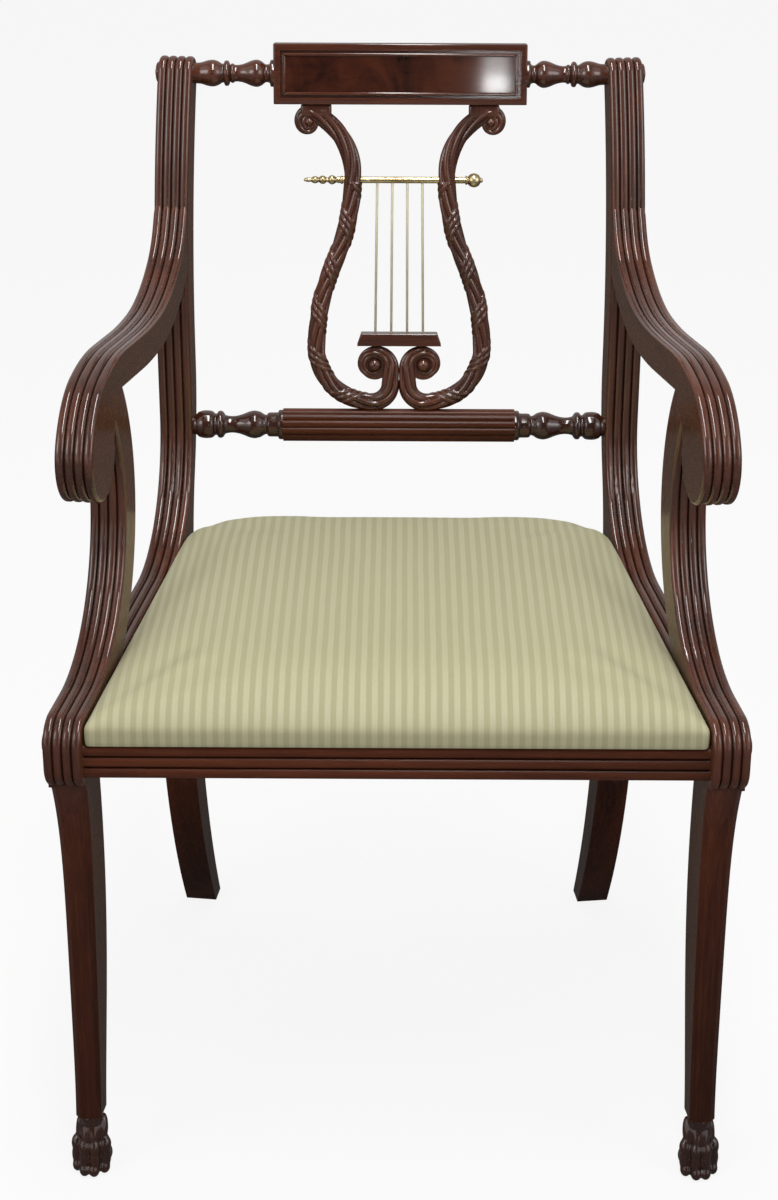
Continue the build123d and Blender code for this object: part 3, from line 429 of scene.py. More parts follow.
beech = sanded_beech("beech_sanded", along_x)
dress("corner_blocks", beech)
for group in ("front_rail", "back_rail", "side_rail", "arm", "support"):
    dress(group + "_dowels", beech)
screw_steel, tree, shader = bare_material("screw_steel")
shader.inputs["Metallic"].default_value = 1.0
zinc = noise(tree, object_coordinates(tree), 400.0)
link(tree, blended(tree, zinc, (0.42, 0.42, 0.43, 1), (0.62, 0.61, 0.58, 1)), shader.inputs["Base Color"])
link(tree, spread(tree, zinc, 0.3, 0.7, 0.3, 0.5), shader.inputs["Roughness"])
dress("corner_block_screws", screw_steel)

# Crest rail: a mahogany tablet with turned ends pegged into the posts. Its face is sunk for a panel of
# flame-figured veneer framed by four mitred beads.
STAY = Vector((0, 196.33, 544.0)) * MM
CREST = Vector((0, 245.18, 867.0)) * MM
LEAN = math.atan2(CREST.y - STAY.y, CREST.z - STAY.z)
BACK_LENGTH = (CREST - STAY).length
back_plane = Matrix.Translation(STAY) @ Matrix.Rotation(-LEAN, 4, "X")
TABLET_HALF = 115.5 * MM
TABLET_HIGH = 54.2 * MM
TABLET_DEEP = 22.0 * MM
TABLET_MARGIN = 8.0 * MM
TABLET_RECESS = 2.0 * MM
TABLET_EASE = 0.9 * MM
TABLET_STEP = 0.2 * MM
BEAD_EASE = 1.2 * MM
crest_profile = (
    (115.0, 12.0), (117.8, 12.1), (118.7, 11.0), (119.4, 8.8), (121.5, 8.0), (123.5, 8.4), (126, 10.4),
    (129, 11.9), (132, 12.2), (136, 11.3), (140, 9.6), (144, 8.2), (148, 7.5), (151, 7.6), (152, 8.4),
    (153.2, 8.8), (154.4, 8.4), (155.2, 7.7), (156.0, 9.4), (156.8, 11.0), (158.5, 11.5), (160.1, 11.0),
    (160.9, 9.4), (161.7, 8.4), (163, 8.7), (166, 10.6), (169, 11.7), (172, 12.0), (176, 11.4), (180, 10.2),
    (183, 9.5), (189.5, 9.25),
)


def flowing(profile, cuts=3):
    """Points of a turner's profile joined by smooth curves."""
    points = [Vector((length, 0, radius)) * MM for length, radius in profile]
    run = []
    for before, start, end, after in zip(points[:1] + points, points, points[1:], points[2:] + points[-1:]):
        leave, arrive = start + (end - before) / 6, end - (after - start) / 6
        run += interpolate_bezier(start, leave, arrive, end, cuts + 1)[:-1]
    return run + points[-1:]


def edges_of(verts):
    return {edge for vert in verts for edge in vert.link_edges}


def open_edges(bm):
    return [edge for edge in bm.edges if edge.is_boundary]


def rounded(bm, edges, width, segments):
    bmesh.ops.bevel(
        bm, geom=list(edges), offset=width, affect="EDGES", segments=segments, profile=0.5, material=-1
    )


def close_holes(bm):
    bmesh.ops.remove_doubles(bm, verts=bm.verts, dist=DOUBLES)
    bmesh.ops.holes_fill(bm, edges=open_edges(bm))
    bmesh.ops.recalc_face_normals(bm, faces=bm.faces)


def turn_on_lathe(bm, profile, steps=56):
    chain = [bm.verts.new(place) for place in flowing(profile)]
    edges = [bm.edges.new(pair) for pair in zip(chain, chain[1:])]
    bmesh.ops.spin(
        bm, geom=chain + edges, axis=(1, 0, 0), cent=(0, 0, 0), angle=math.tau, steps=steps, use_merge=True
    )


def lathe_ends(bm, profile, height):
    start = len(bm.verts)
    turn_on_lathe(bm, profile)
    bm.verts.ensure_lookup_table()
    right = bm.verts[start:]
    bmesh.ops.translate(bm, verts=right, vec=(0, 0, height))
    faces = {face for vert in right for face in vert.link_faces}
    bmesh.ops.duplicate(bm, geom=[*right, *edges_of(right), *faces])
    bm.verts.ensure_lookup_table()
    left = bm.verts[start + len(right):]
    bmesh.ops.scale(bm, vec=(-1, 1, 1), verts=left)


bm = bmesh.new()
size = Matrix.Diagonal((2 * TABLET_HALF, TABLET_DEEP, TABLET_HIGH, 1))
bmesh.ops.create_cube(bm, size=1.0, matrix=Matrix.Translation((0, 0, BACK_LENGTH)) @ size)
rounded(bm, bm.edges, TABLET_EASE, 3)
front = min(bm.faces, key=lambda face: face.calc_center_median().y)
bmesh.ops.inset_region(bm, faces=[front], thickness=TABLET_MARGIN - TABLET_EASE, depth=0.0)
bmesh.ops.inset_region(bm, faces=[front], thickness=TABLET_STEP, depth=-TABLET_RECESS)
lathe_ends(bm, crest_profile, BACK_LENGTH)
close_holes(bm)
bmesh.ops.transform(bm, matrix=back_plane, verts=bm.verts)
finish_mesh(bm, "crest_rail_wood", cross_mahogany, "frame", ("crest_rail",), sharp=40.0)


def flame_veneer():
    material, tree, shader = bare_material("flame_veneer")
    place = object_coordinates(tree, (1.0, 1.0, 0.55), (0, 0.5, 0), (0.03, 0, 0))
    swirl = noise(tree, place, 22.0, 5.0, 0.55, 1.6)
    feather = noise(tree, object_coordinates(tree, (0.3, 1.0, 1.4), (0, -0.5, 0)), 120.0, 5.0, 0.6, 0.8)
    broad, narrow = spread(tree, swirl, 0.36, 0.64, 0.0, 0.7), spread(tree, feather, 0.3, 0.7, 0.0, 0.3)
    tone = sums(tree, "ADD", broad, narrow)
    figure = blended(tree, tone, (0.012, 0.0036, 0.0024, 1), (0.08, 0.02, 0.009, 1))
    link(tree, figure, shader.inputs["Base Color"])
    link(tree, spread(tree, feather, 0.3, 0.7, 0.16, 0.24), shader.inputs["Roughness"])
    shader.inputs["Coat Weight"].default_value = 0.5
    shader.inputs["Specular IOR Level"].default_value = 0.08
    shader.inputs["Coat Roughness"].default_value = 0.05
    bumped(tree, shader, feather, 0.05, 0.0002)
    return material


planed("crest_panel", flame_veneer(), ease=False)
node = "crest_bead"
bead = finish_mesh(cad_copy(node), node + "_wood", cross_mahogany, "frame", (node,))
eased(bead, BEAD_EASE, 4)

# Stay rail: a mahogany bar turned in one piece, reeded along its middle and left satin. Its turned ends are
# stained darker and pegged into the posts.
STAY_HALF = 109.5 * MM
STAY_RADIUS = 15.5 * MM
STAY_REEDS = 12
STAY_CUT = 0.11
stay_profile = (
    (109.0, 14.0), (112.3, 14.0), (113.8, 13.3), (114.5, 11.7), (118, 11.5), (122.3, 11.4), (124, 10.8),
    (125, 9.4), (126, 9.2), (128, 10.0), (131, 11.9), (135, 13.0), (138, 13.1), (142, 12.2), (147, 10.2),
    (152, 8.6), (157, 7.9), (161, 8.1), (164.5, 9.0), (166, 11.2), (167.5, 12.6), (169.5, 12.9),
    (171.3, 12.3), (172.2, 10.6), (174, 10.2), (175.2, 11.2), (177, 12.6), (181, 13.2), (186, 13.0),
    (190, 11.6), (192, 9.7), (197.0, 9.25),
)
bm = bmesh.new()
ring = bmesh.ops.create_circle(bm, segments=STAY_REEDS * 10, radius=STAY_RADIUS, cap_ends=False)["verts"]
for vert in ring:
    lobe = abs(math.sin(math.atan2(vert.co.y, vert.co.x) * STAY_REEDS / 2))
    vert.co *= 1 - STAY_CUT * (1 - lobe) ** 1.6
bmesh.ops.rotate(bm, verts=ring, cent=(0, 0, 0), matrix=Matrix.Rotation(math.pi / 2, 3, "Y"))
bmesh.ops.translate(bm, verts=ring, vec=(-STAY_HALF, 0, 0))
swept = bmesh.ops.extrude_edge_only(bm, edges=bm.edges[:])["geom"]
bmesh.ops.translate(bm, verts=only(swept, BMVert), vec=(2 * STAY_HALF, 0, 0))
lathe_ends(bm, stay_profile, 0.0)
close_holes(bm)
bmesh.ops.transform(bm, matrix=back_plane, verts=bm.verts)
dark_mahogany = polished_mahogany("mahogany_dark", along_x, shade=0.5)
stay = finish_mesh(bm, "stay_rail_wood", satin_mahogany, "frame", ("stay_rail",), sharp=32.0)
stay.data.materials.append(dark_mahogany)
for face in stay.data.polygons:
    face.material_index = int(abs(face.center.x) > STAY_HALF)

# Lyre arms: mahogany rods carved in the round as a fluted staff, bound with a ribbon below the brass rod.
# They roll outwards under the tablet and inwards over the stay rail, each roll round a ball.
STEP = 1.0
FLUTES = 6
FLUTE_TWIST = math.tau / 210.0
RIBBON_LEAD = 44.0
RIBBON_SHARE = 0.42
RIBBON_LINES = 3
STAFF_FLOOR, STAFF_RISE = 0.66, 0.33
RIBBON_FLOOR, RIBBON_RISE = 0.82, 0.23
WAIST_PLACE = (43.4, 235)
ROLL_EYES = ((83.4, 283.6, 8.5, 6.0, 5.6), (22.9, 58.0, 14.0, 5.0, 7.0))
EYE_DEEP = 8.6 * MM
PAD_X, PAD_HIGH = 77.0 * MM, 293.8 * MM
PAD_SIZE = (28.0 * MM, 14.0 * MM, 11.2 * MM, 1)
PAD_EASE = 2.0 * MM


def walk(start, heading, runs):
    """Points along tangent runs of (length or (radius, turn), tube radius at the end), about 1 mm apart."""
    x, h, angle = start[0], start[1], math.radians(heading)
    points = [(x, h, angle, runs[0][1])]
    for shape, last in runs:
        radius, turn = shape if isinstance(shape, tuple) else (None, 0.0)
        length = shape if radius is None else radius * math.radians(abs(turn))
        count = max(2, round(length / STEP))
        first = points[-1][3]
        for step in range(count):
            angle += math.radians(turn) / count / 2
            x += length / count * math.cos(angle)
            h += length / count * math.sin(angle)
            angle += math.radians(turn) / count / 2
            points.append((x, h, angle, first + (last - first) * (step + 1) / count))
    return points


upper = walk(WAIST_PLACE, 90, (((62, -42), 8.5), ((62, -23), 8.0), ((8, -150), 6.2), ((5.5, -150), 4.4)))
lower = walk(
    WAIST_PLACE, 270,
    (
        ((196.2, 24.1), 8.5), ((196.2, -24.1), 8.5), ((52.5, -90), 8.5), ((17, -90), 8.9), (15.9, 8.3),
        ((14.8, -90), 6.0), ((11.2, -90), 5.0), ((9, -90), 4.2), ((7, -60), 3.4),
    ),
)
stations = [(x, h, angle + math.pi, tube) for x, h, angle, tube in reversed(lower)] + upper[1:]
WAIST = len(lower) - 1
RIBBON_LOW, RIBBON_HIGH = 100, WAIST - 6


def arm_station(place):
    x, h, angle, tube = stations[place]
    here = Matrix.Translation((x * MM, 0, h * MM)) @ Matrix.Rotation(math.pi / 2 - angle, 4, "Y")
    return here @ Matrix.Scale(tube * MM, 4)


def carving(place, angle):
    """Share of the arm's radius left by the carver's gouge at a station and an angle round the arm."""
    along = (place - WAIST) * STEP
    flute = abs(math.sin((angle + along * FLUTE_TWIST) * FLUTES / 2))
    staff = STAFF_FLOOR + STAFF_RISE * flute ** 0.6
    wound = (along / RIBBON_LEAD - angle / math.tau) % 1.0
    if not RIBBON_LOW < place < RIBBON_HIGH or wound > RIBBON_SHARE:
        return staff
    across = wound / RIBBON_SHARE
    line = abs(math.sin(across * math.pi * RIBBON_LINES))
    return RIBBON_FLOOR + RIBBON_RISE * line ** 0.5


def lyre_arm(hand):
    bm = bmesh.new()
    ring = bmesh.ops.create_circle(bm, segments=64, radius=1.0, cap_ends=False)["verts"]
    bmesh.ops.transform(bm, matrix=arm_station(0), verts=ring)
    edges = bm.edges[:]
    rings = [ring]
    for place in range(1, len(stations)):
        swept = bmesh.ops.extrude_edge_only(bm, edges=edges)["geom"]
        rings.append(only(swept, BMVert))
        edges = only(swept, BMEdge)
        step = arm_station(place) @ arm_station(place - 1).inverted()
        bmesh.ops.transform(bm, matrix=step, verts=rings[-1])
    for place, ring in enumerate(rings):
        here = arm_station(place)
        back_here = here.inverted()
        for vert in ring:
            flat = back_here @ vert.co
            vert.co = here @ (flat * carving(place, math.atan2(flat.y, flat.x)))
    bmesh.ops.holes_fill(bm, edges=open_edges(bm))
    upright = Matrix.Rotation(math.pi / 2, 4, "X")
    for x, h, disc, depth, eye in ROLL_EYES:
        place = Matrix.Translation((x * MM, 0, h * MM)) @ upright
        bmesh.ops.create_cone(
            bm, cap_ends=True, segments=48, radius1=disc * MM, radius2=disc * MM, depth=depth * MM,
            matrix=place,
        )
        size = Matrix.Diagonal((eye * MM, eye * MM, EYE_DEEP, 1))
        bmesh.ops.create_uvsphere(bm, u_segments=32, v_segments=20, radius=1.0, matrix=place @ size)
    pad = Matrix.Translation((PAD_X, 0, PAD_HIGH)) @ Matrix.Diagonal(PAD_SIZE)
    block = bmesh.ops.create_cube(bm, size=1.0, matrix=pad)["verts"]
    rounded(bm, edges_of(block), PAD_EASE, 3)
    bmesh.ops.recalc_face_normals(bm, faces=bm.faces)
    bmesh.ops.transform(bm, matrix=back_plane, verts=bm.verts)
    if hand == "left":
        bmesh.ops.transform(bm, matrix=mirrored, verts=bm.verts)
        bmesh.ops.reverse_faces(bm, faces=bm.faces)
    node = "lyre_arm_" + hand
    finish_mesh(bm, node + "_carved", carved_mahogany, "frame", (node,), sharp=50.0)


carved_mahogany = polished_mahogany("mahogany_carved", along_z, rubbed=0.7, haze=0.18)
for hand in ("left", "right"):
    lyre_arm(hand)
planed("lyre_bridge", cross_mahogany)

# Lyre rod, finials and strings: aged brass. The rod runs through both lyre arms, with a ball at one end
# and a beaded finial at the other, and four strings are stretched from it to the bridge.
ROD_HEIGHT = 230.5 * MM


def aged_brass():
    material, tree, shader = bare_material("brass_aged")
    place = object_coordinates(tree)
    cloud = noise(tree, place, 90.0, 4.0)
    fine = noise(tree, place, 900.0, 2.0)
    tarnish = blended(tree, spread(tree, cloud, 0.35, 0.65), (0.42, 0.32, 0.16, 1), (0.8, 0.68, 0.42, 1))
    link(tree, tarnish, shader.inputs["Base Color"])
    shader.inputs["Metallic"].default_value = 1.0
    link(tree, spread(tree, fine, 0.3, 0.7, 0.2, 0.42), shader.inputs["Roughness"])
    bumped(tree, shader, fine, 0.05, 0.0002)
    return material


brass = aged_brass()
ball_profile = (
    (60.6, 0.0), (60.6, 3.9), (61.6, 4.2), (62.4, 3.5), (63.2, 3.9), (64.4, 5.1), (66, 6.0), (68.5, 6.5),
    (71, 6.0), (72.8, 5.0), (74.0, 3.4), (74.6, 2.2), (75.4, 2.1), (76.4, 1.6), (76.8, 0.0),
)
finial_profile = (
    (-52.4, 0.0), (-52.6, 3.4), (-54.2, 3.7), (-55.6, 2.6), (-58.5, 2.4), (-60.5, 3.6), (-62.5, 4.3),
    (-64.5, 3.8), (-66.3, 2.3), (-67.6, 2.2), (-69.5, 3.5), (-71.5, 3.9), (-73.4, 3.3), (-75.0, 2.1),
    (-76.5, 3.0), (-78.5, 3.4), (-80.5, 2.8), (-82.2, 1.8), (-84.0, 2.2), (-86.4, 1.9), (-88.4, 1.0),
    (-88.9, 0.0),
)
for name, node, profile in (
    ("lyre_ball_brass", "lyre_ball_finial", ball_profile),
    ("lyre_finial_brass", "lyre_turned_finial", finial_profile),
):
    bm = bmesh.new()
    turn_on_lathe(bm, profile, 32)
    close_holes(bm)
    bmesh.ops.translate(bm, verts=bm.verts, vec=(0, 0, ROD_HEIGHT))
    bmesh.ops.transform(bm, matrix=back_plane, verts=bm.verts)
    finish_mesh(bm, name, brass, "frame", (node,), sharp=45.0)
planed("lyre_rod", brass, ease=False)

pale_gold, tree, shader = bare_material("string_gilding")
shader.inputs["Metallic"].default_value = 0.55
drawn = noise(tree, object_coordinates(tree, along_z), 600.0, 3.0)
link(tree, blended(tree, drawn, (0.62, 0.53, 0.36, 1), (0.8, 0.73, 0.56, 1)), shader.inputs["Base Color"])
link(tree, spread(tree, drawn, 0.3, 0.7, 0.32, 0.48), shader.inputs["Roughness"])
bumped(tree, shader, drawn, 0.05, 0.0002)
STRING_LOW, STRING_HIGH = Vector((0, 0, 87.6)), Vector((0, 0, 228.0))
FOOT_PITCH, HEAD_PITCH = 14.9, 13.9
STRING_RADIUS = 1.15 * MM
STRING_EASE = 0.3 * MM
bm = bmesh.new()
for share in (-1.5, -0.5, 0.5, 1.5):
    foot = STRING_LOW + Vector((FOOT_PITCH * share, 0, 0))
    head = STRING_HIGH + Vector((HEAD_PITCH * share, 0, 0))
    lie = (head - foot).to_track_quat("Z", "Y").to_matrix().to_4x4()
    wire = bmesh.ops.create_cone(
        bm, cap_ends=True, segments=16, radius1=STRING_RADIUS, radius2=STRING_RADIUS,
        depth=(head - foot).length * MM, matrix=Matrix.Translation((foot + head) / 2 * MM) @ lie,
    )["verts"]
    rounded(bm, [rim for rim in edges_of(wire) if rim.calc_face_angle(0.0) > 1.0], STRING_EASE, 2)
bmesh.ops.recalc_face_normals(bm, faces=bm.faces)
bmesh.ops.transform(bm, matrix=back_plane, verts=bm.verts)
finish_mesh(bm, "lyre_strings_drawn", pale_gold, "frame", ("lyre_strings",), sharp=45.0)

# Bosses: turned mahogany buttons with a raised centre and a ring, glued to the outer faces of the post
# rolls and the knees.
boss_profile = (
    (0.1, 9.2), (1.6, 9.3), (2.8, 8.7), (3.1, 7.4), (2.3, 6.6),
    (2.4, 5.8), (3.8, 4.6), (4.6, 2.4), (4.8, 0.0),
)
for name, station, height in (("post_bosses", 513.2, 867.0), ("knee_bosses", 20.0, 432.0)):
    bm = bmesh.new()
    turn_on_lathe(bm, boss_profile, 40)
    close_holes(bm)
    place = side_frame @ Matrix.Translation((PLANK_HALF, station * MM, height * MM))
    bmesh.ops.transform(bm, matrix=place, verts=bm.verts)
    bmesh.ops.mirror(bm, geom=everything(bm), axis="X", merge_dist=0.0)
    bmesh.ops.recalc_face_normals(bm, faces=bm.faces)
    finish_mesh(bm, name + "_turned", upright_mahogany, "frame", (name,), sharp=40.0)

# Drop-in seat: a beech frame with webbing and a stuffed pad, covered in a woven stripe that is drawn over
# the edges and tacked under the frame. It lies loose on the rails, between the side frames, and lifts out.
SEAT_LOW = 435.3 * MM
SEAT_FRONT = FRONT_Y + 4.0 * MM
SEAT_BACK = FRONT_Y + 437.0 * math.cos(TURN) * MM
SEAT_GAP = 1.2 * MM
SEAT_WALL = 22.0 * MM
SEAT_CROWN = 23.0 * MM
SEAT_ROLL = 100.0 * MM
SEAT_HEM = 1.0 * MM
SEAT_TUCK = 4.0 * MM
SEAT_SWELL = 5.0 * MM
SETTLE_FRAMES, CROWN_PASSES = 20, 8
FRONT_CORNER, BACK_CORNER = 4.0 * MM, 42.0 * MM
STRIPE_PITCH, PIN_PITCH, WEAVE_PITCH = 9.4 * MM, 2.35 * MM, 0.9 * MM


def seat_half(y):
    """Half width of the seat at a depth, just inside the side frames."""
    return KNEE_X - (PLANK_HALF + SEAT_GAP) / math.cos(TURN) - (y - FRONT_Y) * math.tan(TURN)


def stuffed(u, v):
    """Place on the seat's top for shares of -1 to 1 across and from front to back."""
    middle, depth = (SEAT_BACK + SEAT_FRONT) / 2, (SEAT_BACK - SEAT_FRONT) / 2
    half = seat_half(middle + v * depth)
    corner = FRONT_CORNER if v < 0 else BACK_CORNER
    edge = Vector(((1 - abs(u)) * half, (1 - abs(v)) * depth))
    past = Vector((corner, corner)) - edge
    if min(past) > 0:
        past *= max(past) / past.length
    rolls = [math.sqrt(1 - (1 - min(away / SEAT_ROLL, 1.0)) ** 2) for away in edge]
    return Vector((
        math.copysign(half - corner + past.x, u),
        middle + math.copysign(depth - corner + past.y, v),
        SEAT_LOW + SEAT_WALL + SEAT_CROWN * rolls[0] * rolls[1],
    ))


def stuffed_seat():
    bm = bmesh.new()
    bmesh.ops.create_grid(bm, x_segments=90, y_segments=80, size=1.0)
    for vert in bm.verts:
        vert.co = stuffed(vert.co.x, vert.co.y)
    under = bmesh.ops.duplicate(bm, geom=everything(bm))["geom"]
    for vert in only(under, BMVert):
        vert.co.z = SEAT_LOW if vert.is_boundary else SEAT_LOW + SEAT_HEM
    bmesh.ops.bridge_loops(bm, edges=open_edges(bm))
    upright = [e for e in bm.edges if abs(e.verts[0].co.z - e.verts[1].co.z) > SEAT_WALL - SEAT_HEM]
    bmesh.ops.subdivide_edges(bm, edges=upright, cuts=3, use_grid_fill=True)
    bmesh.ops.recalc_face_normals(bm, faces=bm.faces)
    return meshed(bm, "seat_form")


even = stuffed_seat()
cushion = placed("seat_cushion", even)
before = [vert.co.copy() for vert in even.vertices]
tacked = cushion.vertex_groups.new(name="tacked")
wall = [vert.index for vert in even.vertices if vert.co.z < SEAT_LOW + SEAT_WALL - SEAT_HEM]
tacked.add(wall, 1.0, "REPLACE")
cloth = cushion.modifiers.new("stuffing", "CLOTH")
cloth.settings.quality = 6
cloth.settings.mass = 0.4
cloth.settings.tension_stiffness = 25
cloth.settings.compression_stiffness = 25
cloth.settings.shear_stiffness = 8
cloth.settings.bending_stiffness = 2.0
cloth.settings.use_pressure = True
cloth.settings.uniform_pressure_force = 4.0
cloth.settings.vertex_group_mass = "tacked"
cloth.settings.effector_weights.gravity = 0.0
scene = bpy.context.scene
for number in range(1, SETTLE_FRAMES + 1):
    scene.frame_set(number)
filled = baked_mesh(cushion)
cushion.modifiers.remove(cloth)
cushion.data = filled
bpy.data.meshes.remove(even)
scene.frame_set(1)
for vert, rest in zip(cushion.data.vertices, before):
    swell = vert.co - rest
    if swell.length > SEAT_SWELL:
        vert.co = rest + swell.normalized() * SEAT_SWELL
    vert.co.y = min(max(vert.co.y, SEAT_FRONT), SEAT_BACK)
    side = seat_half(vert.co.y)
    vert.co.x = min(max(vert.co.x, -side), side)
bm = bmesh.new()
bm.from_mesh(cushion.data)
bpy.data.objects.remove(cushion)
rails = (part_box("front_seat_rail")[1].y + SEAT_TUCK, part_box("back_seat_rail")[0].y - SEAT_TUCK)
for vert in bm.verts:
    if vert.co.z < SEAT_LOW + SEAT_HEM / 2 and rails[0] < vert.co.y < rails[1]:
        vert.co.z -= SEAT_TUCK
crown = [vert for vert in bm.verts if vert.co.z > SEAT_LOW + SEAT_WALL - SEAT_HEM]
for _ in range(CROWN_PASSES):
    bmesh.ops.smooth_vert(bm, verts=crown, factor=0.5, use_axis_x=True, use_axis_y=True, use_axis_z=True)


def ripple(tree, place, pitch):
    return sums(tree, "SINE", sums(tree, "MULTIPLY", place, math.tau / pitch), 0.0)


def striped_cloth():
    material, tree, shader = bare_material("striped_cloth")
    place = object_coordinates(tree)
    wobble = noise(tree, place, 9.0, 2.0)
    parts = tree.nodes.new("ShaderNodeSeparateXYZ")
    link(tree, place, parts.inputs["Vector"])
    across = sums(tree, "ADD", parts.outputs["X"], sums(tree, "MULTIPLY", wobble, 0.002))
    stripe = spread(tree, ripple(tree, across, STRIPE_PITCH), -0.25, 0.25)
    pin = spread(tree, ripple(tree, across, PIN_PITCH), 0.2, 0.9)
    warp, weft = (ripple(tree, parts.outputs[axis], WEAVE_PITCH) for axis in "XY")
    weave = sums(tree, "MULTIPLY", warp, weft)
    ground = blended(tree, stripe, (0.41, 0.385, 0.225, 1), (0.495, 0.47, 0.295, 1))
    ground = blended(tree, sums(tree, "MULTIPLY", pin, 0.14), ground, (0.42, 0.42, 0.24, 1))
    slub = noise(tree, object_coordinates(tree, (1.0, 0.05, 1.0)), 700.0, 3.0)
    ground = blended(tree, spread(tree, slub, 0.3, 0.7, 0.0, 0.12), ground, (0.3, 0.28, 0.16, 1))
    ground = blended(tree, spread(tree, weave, -1.0, 1.0, 0.0, 0.08), ground, (0.25, 0.23, 0.13, 1))
    link(tree, ground, shader.inputs["Base Color"])
    link(tree, spread(tree, stripe, 0.0, 1.0, 0.75, 0.55), shader.inputs["Roughness"])
    shader.inputs["Sheen Weight"].default_value = 0.15
    shader.inputs["Sheen Roughness"].default_value = 0.4
    height = sums(tree, "ADD", sums(tree, "MULTIPLY", weave, 0.5), sums(tree, "MULTIPLY", stripe, 0.5))
    bumped(tree, shader, height, 0.25, 0.0003)
    return material


layers = ("seat_cover", "seat_pad", "seat_webbing")
cover = finish_mesh(bm, "seat_cover_cloth", striped_cloth(), "seat", layers, sharp=80.0)
fine = cover.modifiers.new("even_curve", "SUBSURF")
fine.levels = 1
fine.render_levels = 1
for node in ("seat_frame_front", "seat_frame_back", "seat_frame_sides"):
    dress(node, beech)

# Dust cover: thin black cotton stretched flat under the seat frame and tacked along its edges, to keep the
# webbing's dust in. It rides with the seat.
black_cloth, tree, shader = bare_material("dust_cloth")
thread = noise(tree, object_coordinates(tree), 1200.0, 2.0)
faded = blended(tree, thread, (0.012, 0.012, 0.012, 1), (0.035, 0.034, 0.033, 1))
link(tree, faded, shader.inputs["Base Color"])
link(tree, spread(tree, thread, 0.3, 0.7, 0.8, 0.95), shader.inputs["Roughness"])
bumped(tree, shader, thread, 0.2, 0.0003)
node = "seat_dust_cover"
under = finish_mesh(cad_copy(node), "seat_dust_cloth", black_cloth, "seat", (node,), sharp=40.0)

# Studio: a pale floor and a white surround, a lamp strip overhead, a softbox on each side and a small
# two-paned window whose glare lies on the tablet. The camera stands in front, at standing eye level.
FLOOR_HALF = 30.0
FLOOR_GLOW = 0.88
SEAT_AIM, TABLET_AIM = (0, 0, 0.5), (0, 0.2, 0.86)
bm = bmesh.new()
bmesh.ops.create_grid(bm, x_segments=1, y_segments=1, size=FLOOR_HALF)
floor = placed("floor", meshed(bm, "floor"))
pale, tree, shader = bare_material("pale_floor")
shader.inputs["Roughness"].default_value = 0.9
rays = tree.nodes.new("ShaderNodeLightPath")
mirrored_ray = rays.outputs["Is Glossy Ray"]
seen = sums(tree, "MAXIMUM", rays.outputs["Is Camera Ray"], rays.outputs["Is Transmission Ray"])
link(tree, blended(tree, seen, (0.5, 0.5, 0.495, 1), (0.85, 0.85, 0.845, 1)), shader.inputs["Base Color"])
# Painted light falloff: in reflections the floor shows only its glow, brighter in front of the chair and
# dimmer behind it.
reach = tree.nodes.new("ShaderNodeSeparateXYZ")
link(tree, object_coordinates(tree), reach.inputs["Vector"])
lit_front = spread(tree, reach.outputs["Y"], -1.4, 0.1, 0.3, 0.1)
glow = tree.nodes.new("ShaderNodeEmission")
direct = sums(tree, "SUBTRACT", 1.0, mirrored_ray)
strength = sums(tree, "ADD", direct, sums(tree, "MULTIPLY", mirrored_ray, lit_front))
link(tree, strength, glow.inputs["Strength"])
choice = tree.nodes.new("ShaderNodeMixShader")
link(tree, sums(tree, "MAXIMUM", sums(tree, "MULTIPLY", seen, FLOOR_GLOW), mirrored_ray), choice.inputs[0])
link(tree, shader.outputs[0], choice.inputs[1])
link(tree, glow.outputs[0], choice.inputs[2])
link(tree, choice.outputs[0], tree.nodes["Material Output"].inputs["Surface"])
floor.data.materials.append(pale)

world = bpy.data.worlds.new("studio")
bpy.context.scene.world = world
world.use_nodes = True
tree = world.node_tree
tree.nodes.clear()
fill = tree.nodes.new("ShaderNodeBackground")
fill.inputs["Color"].default_value = (1.0, 0.99, 0.97, 1)
fill.inputs["Strength"].default_value = 0.36
white = tree.nodes.new("ShaderNodeBackground")
white.inputs["Color"].default_value = (1, 1, 1, 1)
rays = tree.nodes.new("ShaderNodeLightPath")
mirrored_ray = rays.outputs["Is Glossy Ray"]
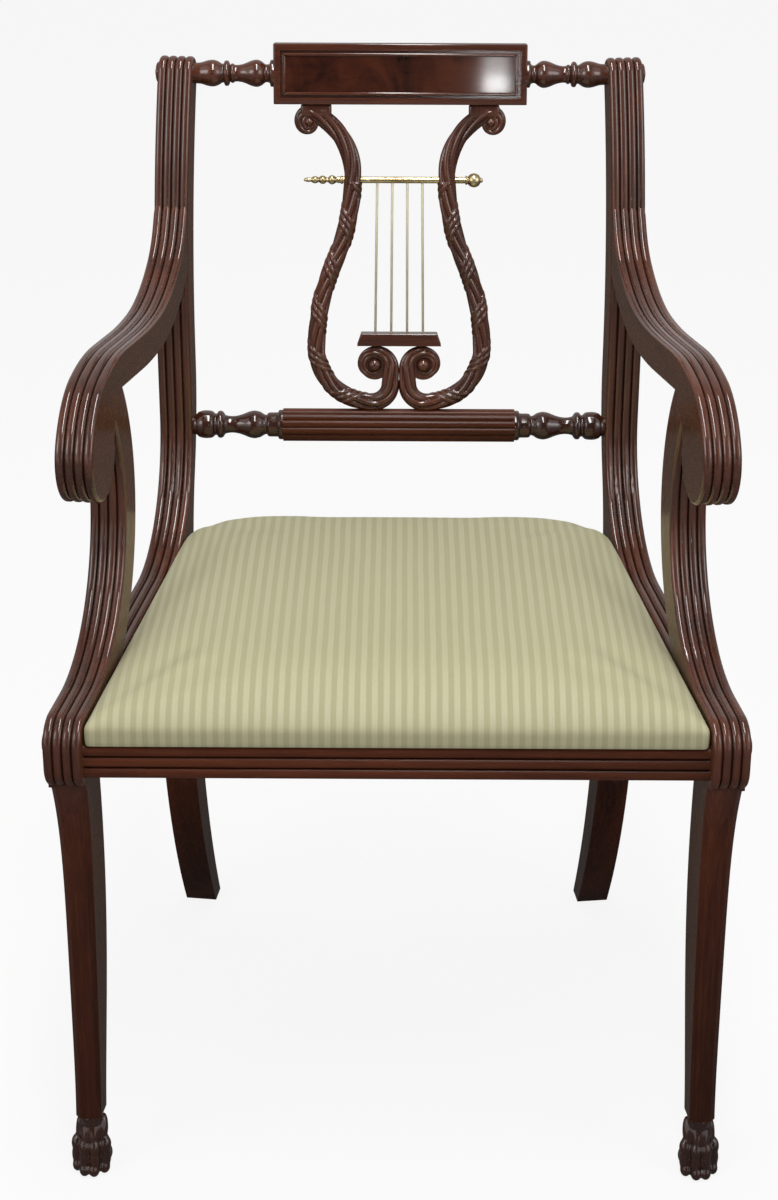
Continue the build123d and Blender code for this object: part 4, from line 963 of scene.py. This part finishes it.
# Painted reflections: glossy rays see the surround dim in front, brighter behind and bright towards the
# front sides, panels that light nothing else.
direction = tree.nodes.new("ShaderNodeSeparateXYZ")
link(tree, tree.nodes.new("ShaderNodeTexCoord").outputs["Generated"], direction.inputs["Vector"])
behind = spread(tree, direction.outputs["Y"], -0.35, 0.6, 0.1, 0.5)
beside = spread(tree, sums(tree, "ABSOLUTE", direction.outputs["X"], 0.0), 0.2, 0.5, 0.0, 0.9)
beside = sums(tree, "MULTIPLY", beside, spread(tree, direction.outputs["Y"], 0.3, -0.1))
shown = sums(tree, "MULTIPLY", mirrored_ray, sums(tree, "MAXIMUM", behind, beside))
direct = sums(tree, "SUBTRACT", 1.0, mirrored_ray)
link(tree, sums(tree, "MAXIMUM", direct, shown), white.inputs["Strength"])
seen = sums(tree, "MAXIMUM", rays.outputs["Is Camera Ray"], mirrored_ray)
seen = sums(tree, "MAXIMUM", seen, rays.outputs["Is Transmission Ray"])
choice = tree.nodes.new("ShaderNodeMixShader")
link(tree, seen, choice.inputs[0])
link(tree, fill.outputs[0], choice.inputs[1])
link(tree, white.outputs[0], choice.inputs[2])
surround = tree.nodes.new("ShaderNodeOutputWorld")
link(tree, choice.outputs[0], surround.inputs["Surface"])


def soft_lamp(name, place, aim, size, power):
    lamp = bpy.data.lights.new(name, "AREA")
    lamp.shape = "RECTANGLE"
    lamp.size, lamp.size_y = size
    lamp.energy = power
    holder = placed(name, lamp)
    holder.location = place
    holder.rotation_mode = "QUATERNION"
    holder.rotation_quaternion = (Vector(aim) - Vector(place)).to_track_quat("-Z", "Y")


soft_lamp("overhead_strip", (0.05, -0.55, 2.75), SEAT_AIM, (0.32, 2.2), 44)
soft_lamp("left_softbox", (-1.7, -1.6, 1.8), SEAT_AIM, (0.9, 1.1), 10)
soft_lamp("right_softbox", (1.9, -1.4, 1.7), SEAT_AIM, (0.9, 1.1), 8)
soft_lamp("window_upper_pane", (0.197, -2.7, 1.151), TABLET_AIM, (0.05, 0.046), 0.14)
soft_lamp("window_lower_pane", (0.197, -2.7, 1.11), TABLET_AIM, (0.05, 0.036), 0.34)

camera = bpy.data.cameras.new("camera")
camera.sensor_fit = "AUTO"
camera.sensor_width = 36.0
camera.lens = 73.04
holder = placed("camera", camera)
PAN, DOWN, ROLL = math.radians(0.3), math.radians(24.26), math.radians(0.15)
EYE = Vector((2.6 * MM, FRONT_Y - 1718.2 * MM, 1342.6 * MM))
look = (
    Matrix.Rotation(PAN, 4, "Z")
    @ Matrix.Rotation(math.pi / 2 - DOWN, 4, "X")
    @ Matrix.Rotation(ROLL, 4, "Z")
)
holder.matrix_world = Matrix.Translation(EYE) @ look
bpy.context.scene.camera = holder
bpy.context.scene.view_settings.view_transform = "Standard"
